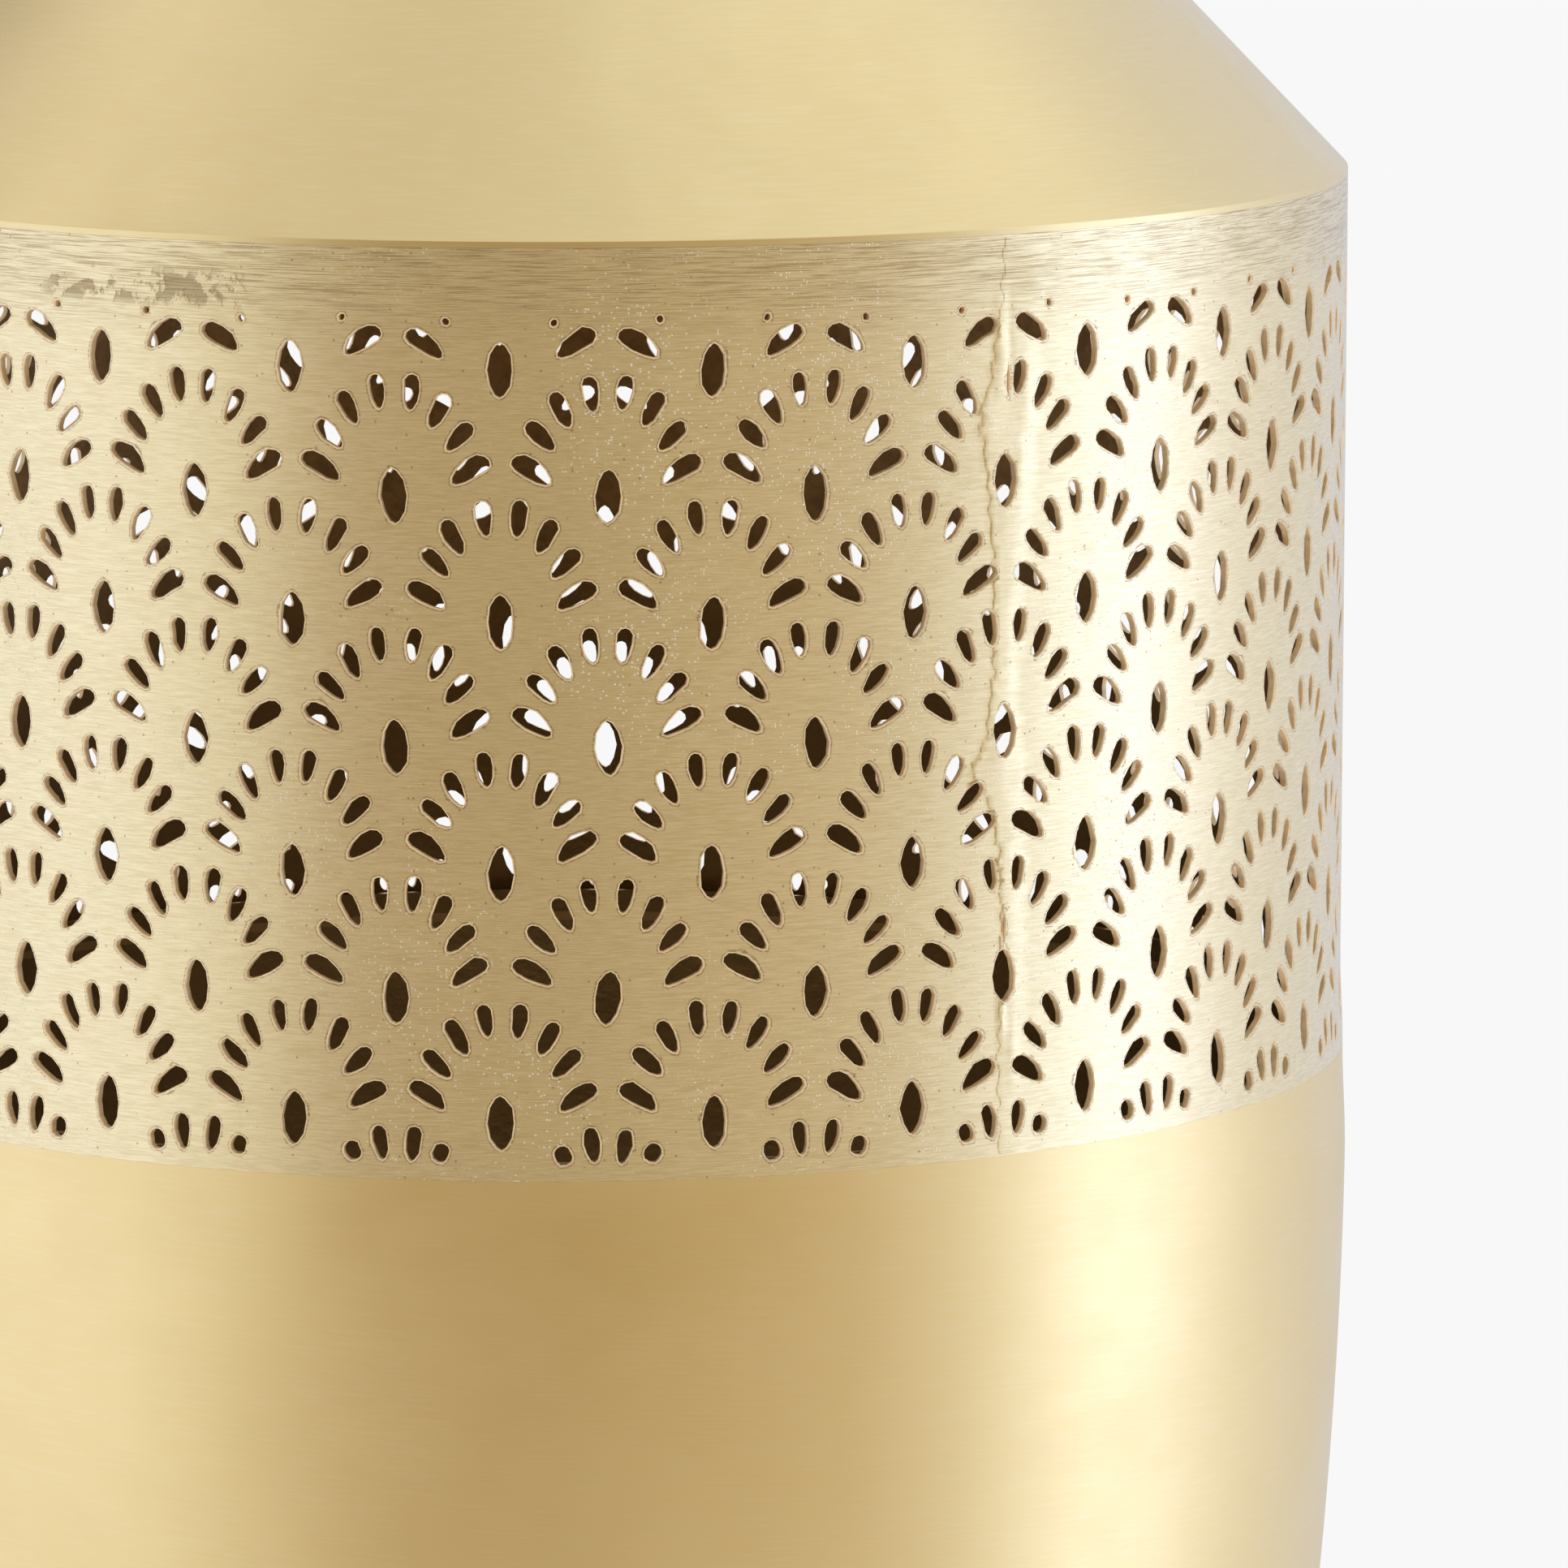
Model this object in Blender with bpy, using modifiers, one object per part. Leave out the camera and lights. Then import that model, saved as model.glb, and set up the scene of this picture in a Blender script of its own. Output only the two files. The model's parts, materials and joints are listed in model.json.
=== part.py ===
"""Hanging lantern of pierced sheet brass: a ring-hung electric pendant shade.

The shade is three soldered shells (cone, pierced band, barrel) with a neck and
a cap. A hollow threaded tube through the cap carries the hanging eye above and
the lamp holder below. Lengths are millimetres times mm; +Z is up and the
origin is the inner top of the hanging ring, where a hook bears.
"""

import bmesh
import bpy
from math import cos, pi, radians, sin, sqrt, tan
from mathutils import Matrix, Vector

mm = 0.001
GAP = 0.3                   # clearance between pieces that touch

# shade
SHEET = 1.0                 # wall of every shell
BAND_RADIUS = 110.0
REPEATS = 25                # scallop columns round the band
ROW_PITCH = 32.82           # between two rows of one column
TOP_MARGIN = 15.8           # band edge to the first row
FOOT_MARGIN = 7.6           # last row to the band's lower edge
ROWS = 7                    # rows at half pitches, staggered column by column
COLUMN_TURN = 3.39          # degrees from the front to the nearest column
EYELET_WIDTH = 3.3          # pointed eyelet under each scallop
EYELET_HEIGHT = 6.9
CONE_SLOPE = 46.0           # degrees above the horizontal
NECK_RADIUS = 33.0
NECK_HEIGHT = 22.0
BARREL_RADIUS = 110.95      # the barrel stands slightly proud of the band
BARREL_STRAIGHT = 6.4
BARREL_DROP = 123.6         # height of the curved part
BARREL_ARC = 803.0          # radius of that curve
SKIRT = 6.0                 # depth of the hidden lap between two shells

# hanging parts
RING_WIRE = 5.0
RING_MAJOR = 22.0
EYE_MAJOR = 9.0
CAP_RADIUS = 34.5
CAP_SKIRT = 12.0
CAP_RISE = 6.0
DOME_ANGLES = (75, 50, 25, 0)  # steps of the cap's rounded shoulder
BOSS_HEIGHT = 17.0          # hollow foot of the hanging eye
PORT_RADIUS = 4.6           # cord port in the boss
BUSH_BORE = 3.1             # for a round cord of up to 6 mm
TUBE_RADIUS = 5.0           # M10 hollow threaded tube
TUBE_BORE = 4.0
TAG_HOLE_AT = 14.5          # solder hole of the earth tag, from the axis
BUSH_AT = 7.9               # the cord bush, behind the axis

# lamp holder and bulb
HOLDER_RADIUS = 19.5
HOLDER_WALL = 2.0
TERMINAL_AT = 11.0          # terminal screws, from the axis
BULB_CAP_RADIUS = 13.0
BULB_CAP_WALL = 1.2
BULB_RADIUS = 22.5
GLASS_WALL = 0.9
SCREW_SHELL_RADIUS = 14.1   # outside of the holder's screw shell
THREAD_PITCH = 3.62


def empty_scene():
    for item in list(bpy.data.objects):
        bpy.data.objects.remove(item, do_unlink=True)


def new_collection(name):
    made = bpy.data.collections.new(name)
    bpy.context.scene.collection.children.link(made)
    return made


def new_finish(name, colour, roughness, metallic):
    made = bpy.data.materials.new(name)
    made.use_nodes = True
    shader = made.node_tree.nodes["Principled BSDF"]
    shader.inputs["Base Color"].default_value = (*colour, 1.0)
    shader.inputs["Roughness"].default_value = roughness
    shader.inputs["Metallic"].default_value = metallic
    return made


empty_scene()
lantern_parts = new_collection("hanging_lantern")
cutters = new_collection("cutters")

satin_brass = new_finish("satin_brass", (0.78, 0.62, 0.30), 0.34, 1.0)
brushed_brass = new_finish("brushed_brass", (0.74, 0.58, 0.28), 0.42, 1.0)
cast_brass = new_finish("cast_brass", (0.70, 0.52, 0.24), 0.38, 1.0)
plated_steel = new_finish("plated_steel", (0.62, 0.62, 0.60), 0.35, 1.0)
contact_brass = new_finish("contact_brass", (0.80, 0.66, 0.36), 0.30, 1.0)
black_phenolic = new_finish("black_phenolic", (0.03, 0.03, 0.03), 0.45, 0.0)
white_ceramic = new_finish("white_ceramic", (0.86, 0.84, 0.80), 0.30, 0.0)
black_glass = new_finish("black_glass", (0.02, 0.02, 0.03), 0.15, 0.0)
clear_glass = new_finish("clear_glass", (0.95, 0.96, 0.96), 0.05, 0.0)
tungsten = new_finish("tungsten", (0.35, 0.34, 0.33), 0.50, 1.0)


def place(mesh, name, finish, home=None):
    """Make an object from a mesh, in the lantern's collection unless home says otherwise."""
    made = bpy.data.objects.new(name, mesh)
    (home or lantern_parts).objects.link(made)
    if finish:
        mesh.materials.append(finish)
    return made


def as_object(bm, name, finish, smooth=True, home=None):
    mesh = bpy.data.meshes.new(name)
    bm.to_mesh(mesh)
    bm.free()
    made = place(mesh, name, finish, home)
    if smooth:
        mesh.shade_smooth()
        mesh.set_sharp_from_angle(angle=radians(35))
    return made


def turned(name, outline, finish, steps=36, inside=None):
    """Turn an outline of (radius, height) about Z: down its outer side, then up its inner side.

    With inside, both are skins that reach the axis, and they are joined at the mouth.
    """
    bm = bmesh.new()
    skins = [[bm.verts.new((radius * mm, 0.0, height * mm)) for radius, height in skin]
             for skin in (outline, inside or [])]
    for skin in skins:
        for upper, lower in zip(skin, skin[1:]):
            bm.edges.new((upper, lower))
    if inside:
        bm.edges.new((skins[1][-1], skins[0][0]))
    elif outline[0][0] > 0.0:
        bm.edges.new((skins[0][-1], skins[0][0]))
    made = as_object(bm, name, finish, smooth=False)
    screw = made.modifiers.new("turn", "SCREW")
    screw.axis = "Z"
    screw.angle = 2 * pi
    screw.steps = screw.render_steps = steps
    screw.use_merge_vertices = True
    screw.merge_threshold = 0.00001
    screw.use_smooth_shade = True
    return made


def hoop(name, major, minor, centre_z, finish, upright_about=None, major_steps=24, minor_steps=8):
    """A round wire ring; upright_about turns it from lying flat to standing, about X or Y."""
    bpy.ops.mesh.primitive_torus_add(major_radius=major * mm, minor_radius=minor * mm,
                                     major_segments=major_steps, minor_segments=minor_steps,
                                     location=(0.0, 0.0, centre_z * mm))
    made = bpy.context.active_object
    for home in list(made.users_collection):
        home.objects.unlink(made)
    lantern_parts.objects.link(made)
    made.name = made.data.name = name
    if upright_about:
        made.rotation_euler["XYZ".index(upright_about)] = pi / 2
    made.data.materials.append(finish)
    made.data.shade_smooth()
    return made


def rod_cutter(name, radius, length, matrix, sides=16):
    bm = bmesh.new()
    bmesh.ops.create_cone(bm, cap_ends=True, segments=sides, radius1=radius * mm,
                          radius2=radius * mm, depth=length * mm, matrix=matrix)
    return hide_cutter(as_object(bm, name, None, smooth=False, home=cutters))


def hide_cutter(cutter):
    cutter.hide_render = True
    cutter.display_type = "WIRE"
    return cutter


def combine(target, tool, operation):
    boolean = target.modifiers.new(tool.name, "BOOLEAN")
    boolean.operation = operation
    boolean.object = tool
    boolean.solver = "EXACT"


def arc(centre_r, centre_z, radius, start, end, count):
    """Points (radius, height) on a circle in the outline's plane, angles in degrees from +radius."""
    turns = [radians(start + (end - start) * i / count) for i in range(count + 1)]
    return [(centre_r + radius * cos(a), centre_z + radius * sin(a)) for a in turns]


def about_z(degrees):
    return Matrix.Rotation(radians(degrees), 4, "Z")


# ---- levels, from the hook down ------------------------------------------------
wire = RING_WIRE / 2
ring_centre = -(RING_MAJOR - wire)
swing_axis = ring_centre - RING_MAJOR                     # middle of the ring's lowest wire
eye_centre = swing_axis + 2 * wire + GAP - EYE_MAJOR
boss_top = eye_centre - EYE_MAJOR + wire * 0.4
boss_foot = boss_top - BOSS_HEIGHT
port_height = boss_top - BOSS_HEIGHT / 2 - 0.1
washer_top = boss_foot - GAP
washer_foot = washer_top - 1.5
cap_top = washer_foot - GAP
cap_edge = cap_top - CAP_RISE
cap_foot = cap_edge - CAP_SKIRT
neck_top = cap_edge - 2.2
neck_foot = neck_top - NECK_HEIGHT
cone_top = neck_foot - GAP
cone_inner_top = NECK_RADIUS - SHEET - GAP                # radius of the collar inside the neck
slope = tan(radians(CONE_SLOPE))
corner = cone_top - (BAND_RADIUS - cone_inner_top) * slope
band_top = corner - 0.9
band_foot = band_top - TOP_MARGIN - FOOT_MARGIN - (ROWS - 1) * ROW_PITCH / 2
barrel_top = band_foot - GAP
barrel_bend = barrel_top - BARREL_STRAIGHT
barrel_foot = barrel_bend - BARREL_DROP
tag_top = cap_top - SHEET - GAP
lock_washer_top = tag_top - 0.8 - GAP
nut_top = lock_washer_top - 1.0 - GAP
nut_foot = nut_top - 4.0
holder_top = nut_foot - 5.0
holder_split = holder_top - 21.0
holder_foot = holder_split - 36.0
carrier_top = holder_split + 3.0
carrier_foot = carrier_top - 8.0
bulb_tip = carrier_foot - 4.5
bulb_seam = bulb_tip - 25.5                               # lower edge of the bulb's metal cap
bulb_foot = bulb_tip - 76.0
stem_foot = bulb_seam - 13.0


# ---- shade ---------------------------------------------------------------------
def barrel_radius(drop):
    """Outer radius of the barrel at a depth below the start of its curve."""
    return BARREL_RADIUS - BARREL_ARC + sqrt(BARREL_ARC ** 2 - drop ** 2)


lap_radius = BAND_RADIUS - SHEET - 0.6                    # laps clear the band's flat facets
wall_run = SHEET / sin(radians(CONE_SLOPE))               # the cone's wall, measured level


def make_cone():
    lip = [(cone_inner_top, cone_top + SKIRT), (cone_inner_top, cone_top)]
    rounding = arc(BAND_RADIUS - 1.2, corner - 0.3, 1.2, 44, 0, 3)
    lap = [(BAND_RADIUS, band_top + GAP), (lap_radius, band_top + GAP),
           (lap_radius, band_top - SKIRT), (lap_radius - SHEET, band_top - SKIRT)]
    inner_corner = corner + (BAND_RADIUS - lap_radius + SHEET - wall_run) * slope
    inner_top = cone_top - (wall_run - SHEET) * slope
    inner = [(lap_radius - SHEET, inner_corner), (cone_inner_top - SHEET, inner_top),
             (cone_inner_top - SHEET, cone_top + SKIRT)]
    return turned("shoulder_cone", lip + rounding + lap + inner, satin_brass, steps=60)


def make_barrel():
    drops = [BARREL_DROP * i / 4 for i in range(5)]
    outer = [(barrel_radius(drop), barrel_bend - drop) for drop in drops]
    inner = [(radius - SHEET, height) for radius, height in reversed(outer)]
    upper = [(lap_radius, barrel_top + SKIRT), (lap_radius, barrel_top), (BARREL_RADIUS, barrel_top)]
    lower = [(BARREL_RADIUS - SHEET, barrel_top - SHEET - 0.4),
             (lap_radius - SHEET, barrel_top - SHEET), (lap_radius - SHEET, barrel_top + SKIRT)]
    return turned("barrel", upper + outer + inner + lower, satin_brass, steps=60)


def make_band():
    """A plain ring with one flat facet per column, pierced by the eyelets."""
    inner = BAND_RADIUS - SHEET
    outline = [(BAND_RADIUS, band_top), (BAND_RADIUS, band_foot), (inner, band_foot), (inner, band_top)]
    band = turned("pierced_band", outline, brushed_brass, steps=2 * REPEATS)
    band.rotation_euler.z = radians(COLUMN_TURN)
    bm = bmesh.new()
    for column in range(2 * REPEATS):
        first_row = 1 if column % 2 == 0 else 0
        facing = about_z(-90 + column * 180 / REPEATS)
        for row in range(first_row, ROWS, 2):
            height = band_top - TOP_MARGIN - row * ROW_PITCH / 2
            centre = Matrix.Translation(Vector((BAND_RADIUS * mm, 0.0, height * mm)))
            size = Matrix.Diagonal((1.0, EYELET_WIDTH / 2 * mm, EYELET_HEIGHT / 2 * mm, 1.0))
            along_x = Matrix.Rotation(pi / 2, 4, "Y")
            bmesh.ops.create_cone(bm, cap_ends=True, segments=4, radius1=1.0, radius2=1.0, depth=6 * mm,
                                  matrix=facing @ centre @ size @ along_x)
    eyelets = hide_cutter(as_object(bm, "eyelet_cutters", None, smooth=False, home=cutters))
    eyelets.rotation_euler.z = band.rotation_euler.z
    combine(band, eyelets, "DIFFERENCE")
    return band


def make_mouth_hoop():
    outer = barrel_radius(BARREL_DROP) - SHEET - GAP
    inner = outer - 2.2
    outline = [(outer - 0.25, barrel_foot + 4.0), (outer, barrel_foot - 0.4),
               (outer - 0.4, barrel_foot - 0.8), (inner + 0.4, barrel_foot - 0.8),
               (inner, barrel_foot - 0.4), (inner, barrel_foot + 4.0)]
    return turned("mouth_hoop", outline, satin_brass, steps=60)


def make_neck():
    inner = NECK_RADIUS - SHEET
    outline = [(NECK_RADIUS, neck_top), (NECK_RADIUS, neck_foot), (inner, neck_foot), (inner, neck_top)]
    return turned("neck_collar", outline, satin_brass)


def make_cap():
    """A shallow domed cap whose skirt goes over the neck."""
    hole, flat, centre = TUBE_RADIUS + 0.2, 19.0, cap_edge - 2.0
    run, rise = CAP_RADIUS - flat, CAP_RISE + 2.0
    turns = [radians(angle) for angle in DOME_ANGLES]
    outer = [(flat + run * cos(turn), centre + rise * sin(turn)) for turn in turns]
    inner = [(flat + (run - SHEET) * cos(turn), centre + (rise - SHEET) * sin(turn))
             for turn in reversed(turns)]
    outline = [(hole, cap_top), (flat, cap_top)] + outer
    outline += [(CAP_RADIUS, cap_foot), (CAP_RADIUS - SHEET, cap_foot)]
    outline += inner + [(hole, cap_top - SHEET)]
    return turned("neck_cap", outline, satin_brass)



# ---- hanging parts -------------------------------------------------------------
def make_eye():
    """Cast eye on a hollow boss; the cord enters through a port at the back."""
    eye = hoop("hanging_eye", EYE_MAJOR, wire, eye_centre, cast_brass, upright_about="Y")
    bore_top = boss_top - 5.0
    outline = [(0.0, boss_top + 1.2), (4.2, boss_top + 1.2), (6.2, boss_top - 1.0), (7.0, boss_top - 4.0),
               (9.0, boss_foot + 4.0), (11.0, boss_foot + 1.5), (11.0, boss_foot),
               (TUBE_RADIUS + 0.15, boss_foot), (TUBE_RADIUS + 0.15, bore_top), (0.0, bore_top + 1.0)]
    boss = turned("eye_boss", outline, cast_brass, steps=24)
    cutters.objects.link(boss)
    lantern_parts.objects.unlink(boss)
    hide_cutter(boss)
    combine(eye, boss, "UNION")
    at = Matrix.Translation((0.0, 8.0 * mm, port_height * mm)) @ Matrix.Rotation(pi / 2, 4, "X")
    port = rod_cutter("cord_port", PORT_RADIUS, 12.0, at)
    combine(eye, port, "DIFFERENCE")
    return eye



def make_cord_bush():
    """Flanged plastic bush in the port, where a cord would enter."""
    wall, bore = PORT_RADIUS - GAP, BUSH_BORE
    outline = [(wall + 1.4, 4.2), (wall + 1.4, 2.8), (wall, 2.8), (wall, -1.6), (bore, -1.6), (bore, 4.2)]
    bush = turned("cord_bush", outline, black_phenolic, steps=20)
    bush.location = (0.0, BUSH_AT * mm, port_height * mm)
    bush.rotation_euler.x = -pi / 2
    return bush


def make_tube():
    top, foot = boss_foot + 3.6, holder_top - 6.0
    outline = [(TUBE_RADIUS - 0.4, top), (TUBE_RADIUS, top - 0.4), (TUBE_RADIUS, foot + 0.4),
               (TUBE_RADIUS - 0.4, foot), (TUBE_BORE, foot), (TUBE_BORE, top)]
    return turned("threaded_tube", outline, plated_steel, steps=24)


def washer(name, outer, top, thickness, finish, steps=24):
    bore = TUBE_RADIUS + 0.2
    outline = [(bore, top), (outer - 0.3, top), (outer, top - 0.3), (outer, top - thickness),
               (bore, top - thickness)]
    return turned(name, outline, finish, steps=steps)


def hexagon_nut(name, across_flats, top, thickness):
    """A hexagon nut with its bore cut through."""
    bm = bmesh.new()
    bmesh.ops.create_cone(bm, cap_ends=True, segments=6, radius1=across_flats / sqrt(3) * mm,
                          radius2=across_flats / sqrt(3) * mm, depth=thickness * mm,
                          matrix=Matrix.Translation((0.0, 0.0, (top - thickness / 2) * mm)))
    nut = as_object(bm, name, plated_steel, smooth=False)
    bore = rod_cutter(name + "_bore", TUBE_RADIUS + 0.2, thickness + 4.0,
                      Matrix.Translation((0.0, 0.0, (top - thickness / 2) * mm)), sides=24)
    combine(nut, bore, "DIFFERENCE")
    return nut


def make_earth_tag():
    """Flat solder tag on the threaded tube; the earth wire goes through the hole in its tongue."""
    bm = bmesh.new()
    middle = tag_top - 0.4
    bmesh.ops.create_cone(bm, cap_ends=True, segments=24, radius1=9.0 * mm, radius2=9.0 * mm,
                          depth=0.8 * mm, matrix=Matrix.Translation((0.0, 0.0, middle * mm)))
    tag = as_object(bm, "earth_tag", contact_brass, smooth=False)
    bm = bmesh.new()
    bmesh.ops.create_cube(bm, size=1.0, matrix=Matrix.Translation((12.0 * mm, 0.0, middle * mm))
                          @ Matrix.Diagonal((13.0 * mm, 7.0 * mm, 0.8 * mm, 1.0)))
    tongue = hide_cutter(as_object(bm, "earth_tongue", None, smooth=False, home=cutters))
    combine(tag, tongue, "UNION")
    for label, radius, at in (("tag_bore", TUBE_RADIUS + 0.2, 0.0), ("tag_wire_hole", 1.6, TAG_HOLE_AT)):
        hole = rod_cutter(label, radius, 4.0, Matrix.Translation((at * mm, 0.0, middle * mm)), sides=20)
        combine(tag, hole, "DIFFERENCE")
    return tag


def cheese_head_screw(name, shank, length, head_radius, head_height, finish):
    """Cheese-head screw pointing down its own -Z, its head's underside at its origin."""
    outline = [(0.0, head_height), (head_radius - 0.3, head_height), (head_radius, head_height - 0.3),
               (head_radius, 0.0), (shank, 0.0), (shank, -length + 0.4), (shank - 0.4, -length),
               (0.0, -length)]
    return turned(name, outline, finish, steps=12)


def make_neck_screws():
    """Three radial screws that hold the cap's skirt to the neck."""
    screws = []
    height = cap_foot + 5.0
    for number in range(3):
        angle = 30 + 120 * number
        outwards = about_z(angle) @ Matrix.Translation(((CAP_RADIUS + GAP) * mm, 0.0, height * mm))
        outwards = outwards @ Matrix.Rotation(pi / 2, 4, "Y")
        hole = rod_cutter(f"neck_screw_hole_{number + 1}", 1.8, 10.0, outwards, sides=12)
        combine(bpy.data.objects["neck_cap"], hole, "DIFFERENCE")
        combine(bpy.data.objects["neck_collar"], hole, "DIFFERENCE")
        screw = cheese_head_screw(f"neck_screw_{number + 1}", 1.5, 6.0, 2.9, 1.8,
                                  cast_brass)
        screw.matrix_world = outwards
        screws.append(screw)
    return screws


# ---- lamp holder ---------------------------------------------------------------
def make_holder_cap():
    outer, wall, hole = HOLDER_RADIUS, HOLDER_WALL, TUBE_RADIUS + 0.15
    dome = arc(outer - 9.0, holder_top - 13.0, 9.0, 90, 0, 4)
    inner_dome = arc(outer - 9.0, holder_top - 13.0, 9.0 - wall, 0, 90, 3)
    outline = [(hole, holder_top), (8.0, holder_top), (8.0, holder_top - 4.0)] + dome
    outline += [(outer, holder_split), (outer - wall, holder_split)] + inner_dome
    outline += [(hole, holder_top - 4.0 - wall)]
    return turned("holder_cap", outline, black_phenolic, steps=24)


def make_holder_shell():
    outer, wall = HOLDER_RADIUS, HOLDER_WALL
    top = holder_split - GAP
    lip = 15.0
    outline = [(outer, top), (outer, holder_foot + 1.0), (outer - 1.0, holder_foot), (lip, holder_foot),
               (lip, holder_foot + wall), (outer - wall, holder_foot + wall), (outer - wall, top)]
    return turned("holder_shell", outline, black_phenolic, steps=24)


def make_carrier():
    """Ceramic disc that carries the contacts; two terminal holes pass through it."""
    outer = HOLDER_RADIUS - HOLDER_WALL - GAP
    outline = [(0.0, carrier_top), (outer - 0.5, carrier_top), (outer, carrier_top - 0.5),
               (outer, carrier_foot), (0.0, carrier_foot)]
    disc = turned("contact_carrier", outline, white_ceramic, steps=24)
    for number, side in enumerate((-1, 1)):
        at = Matrix.Translation((side * TERMINAL_AT * mm, 0.0, carrier_top * mm))
        combine(disc, rod_cutter(f"terminal_hole_{number + 1}", 1.9, 24.0, at, sides=12), "DIFFERENCE")
        screw = cheese_head_screw(f"terminal_screw_{number + 1}", 1.6, 6.5, 2.8, 1.8,
                                  contact_brass)
        screw.location = (side * TERMINAL_AT * mm, 0.0, (carrier_top + GAP) * mm)
    return disc



def strip(name, points, width, thickness, finish):
    """A bent flat strip in the XZ plane, its outline thickened to both sides of a path."""
    curve = bpy.data.curves.new(name, "CURVE")
    curve.dimensions = "2D"
    curve.fill_mode = "BOTH"
    curve.extrude = width / 2 * mm
    spline = curve.splines.new("POLY")
    path = [Vector(point) for point in points]
    sides = []
    for i, point in enumerate(path):
        before = path[max(i - 1, 0)]
        after = path[min(i + 1, len(path) - 1)]
        along = (after - before).normalized()
        sides.append((point, Vector((-along.y, along.x)) * thickness / 2))
    outline = [point + side for point, side in sides] + [point - side for point, side in reversed(sides)]
    spline.points.add(len(outline) - 1)
    for target, point in zip(spline.points, outline):
        target.co = (point.x * mm, point.y * mm, 0.0, 1.0)
    spline.use_cyclic_u = True
    made = bpy.data.objects.new(name, curve)
    lantern_parts.objects.link(made)
    made.rotation_euler.x = pi / 2
    curve.materials.append(finish)
    return made


def make_contacts():
    under = carrier_foot - GAP - 0.3
    strip("centre_contact", [(-6.0, under), (-1.0, under), (1.5, under - 1.6), (2.6, bulb_tip + GAP + 0.25),
                             (3.4, bulb_tip + GAP + 0.9)], 4.0, 0.5, contact_brass)
    wall = SCREW_SHELL_RADIUS + 0.25 + GAP
    strip("side_contact", [(10.6, under), (wall - 0.4, under), (wall, under - 0.8), (wall, under - 9.0)],
          4.0, 0.4, contact_brass)



def make_screw_shell():
    """Thin rolled shell; its ridges stay clear of the bulb's cap, which slides past them."""
    top, foot = carrier_foot - 1.6, holder_foot + 3.0
    turns = int((top - foot) / THREAD_PITCH)
    inner_low, inner_high, wall = BULB_CAP_RADIUS + 0.3, BULB_CAP_RADIUS + 0.75, 0.35
    levels = [top - THREAD_PITCH / 2 * i for i in range(2 * turns + 1)]
    radii = [inner_low if i % 2 == 0 else inner_high for i in range(len(levels))]
    outer = [(radius + wall, level) for radius, level in zip(radii, levels)]
    inner = [(radius, level) for radius, level in zip(radii, levels)]
    return turned("screw_shell", outer + inner[::-1], contact_brass, steps=16)


# ---- bulb ----------------------------------------------------------------------
def make_bulb_cap():
    """Threaded metal cap of the bulb, closed above by the insulator."""
    top = bulb_tip - 5.0
    turns = int((top - bulb_seam) / THREAD_PITCH)
    levels = [top - THREAD_PITCH / 2 * i for i in range(2 * turns)]
    outer = [(BULB_CAP_RADIUS - (0.8 if i % 2 == 0 else 0.0), level) for i, level in enumerate(levels)]
    outer.append((BULB_CAP_RADIUS - 0.6, bulb_seam))
    inner = BULB_CAP_RADIUS - BULB_CAP_WALL
    return turned("bulb_cap", outer + [(inner, bulb_seam), (inner, top)], contact_brass, steps=24)


def make_bulb_insulator():
    top = bulb_tip - 5.0
    outline = [(3.2, bulb_tip - 1.3), (7.0, bulb_tip - 2.2), (11.0, top + GAP), (11.0, top - 1.5),
               (3.2, top - 1.5)]
    return turned("bulb_insulator", outline, black_glass, steps=28)


def make_bulb_tip():
    outline = [(0.0, bulb_tip), (2.0, bulb_tip), (4.2, bulb_tip - 0.5), (4.2, bulb_tip - 0.9),
               (2.6, bulb_tip - 0.9), (2.6, bulb_tip - 4.5), (0.0, bulb_tip - 4.5)]
    return turned("bulb_tip", outline, plated_steel, steps=20)


def make_glass():
    """Blown envelope, open at its neck, 0.9 mm thick."""
    wall = GLASS_WALL
    neck = BULB_CAP_RADIUS - BULB_CAP_WALL - GAP
    centre = bulb_foot + BULB_RADIUS
    start = 62
    globe = arc(0.0, centre, BULB_RADIUS, start, -90, 8)
    inside = arc(0.0, centre, BULB_RADIUS - wall, -90, start, 8)
    mouth = bulb_seam + 8.0
    outline = [(neck, mouth), (neck, bulb_seam - 1.0)] + globe[:-1] + [(0.0, bulb_foot)]
    inner = [(0.0, bulb_foot + wall)] + inside[1:] + [(neck - wall, bulb_seam - 1.0), (neck - wall, mouth)]
    return turned("bulb_glass", outline, clear_glass, steps=20, inside=inner)


def make_stem():
    """Flared glass stem that holds the lead wires."""
    neck = BULB_CAP_RADIUS - BULB_CAP_WALL - GLASS_WALL - 2 * GAP
    mouth = bulb_seam + 7.0
    outline = [(0.0, mouth), (neck, mouth), (neck, mouth - 1.0), (4.0, mouth - 4.0), (2.6, mouth - 10.0),
               (2.6, stem_foot + 0.6), (1.8, stem_foot), (0.0, stem_foot)]
    return turned("glass_stem", outline, clear_glass, steps=20)


def wire_curve(name, points, radius, finish):
    curve = bpy.data.curves.new(name, "CURVE")
    curve.dimensions = "3D"
    curve.bevel_depth = radius * mm
    curve.bevel_resolution = 1
    curve.use_fill_caps = True
    spline = curve.splines.new("POLY")
    spline.points.add(len(points) - 1)
    for target, point in zip(spline.points, points):
        target.co = (point[0] * mm, point[1] * mm, point[2] * mm, 1.0)
    made = bpy.data.objects.new(name, curve)
    lantern_parts.objects.link(made)
    curve.materials.append(finish)
    return made


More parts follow.
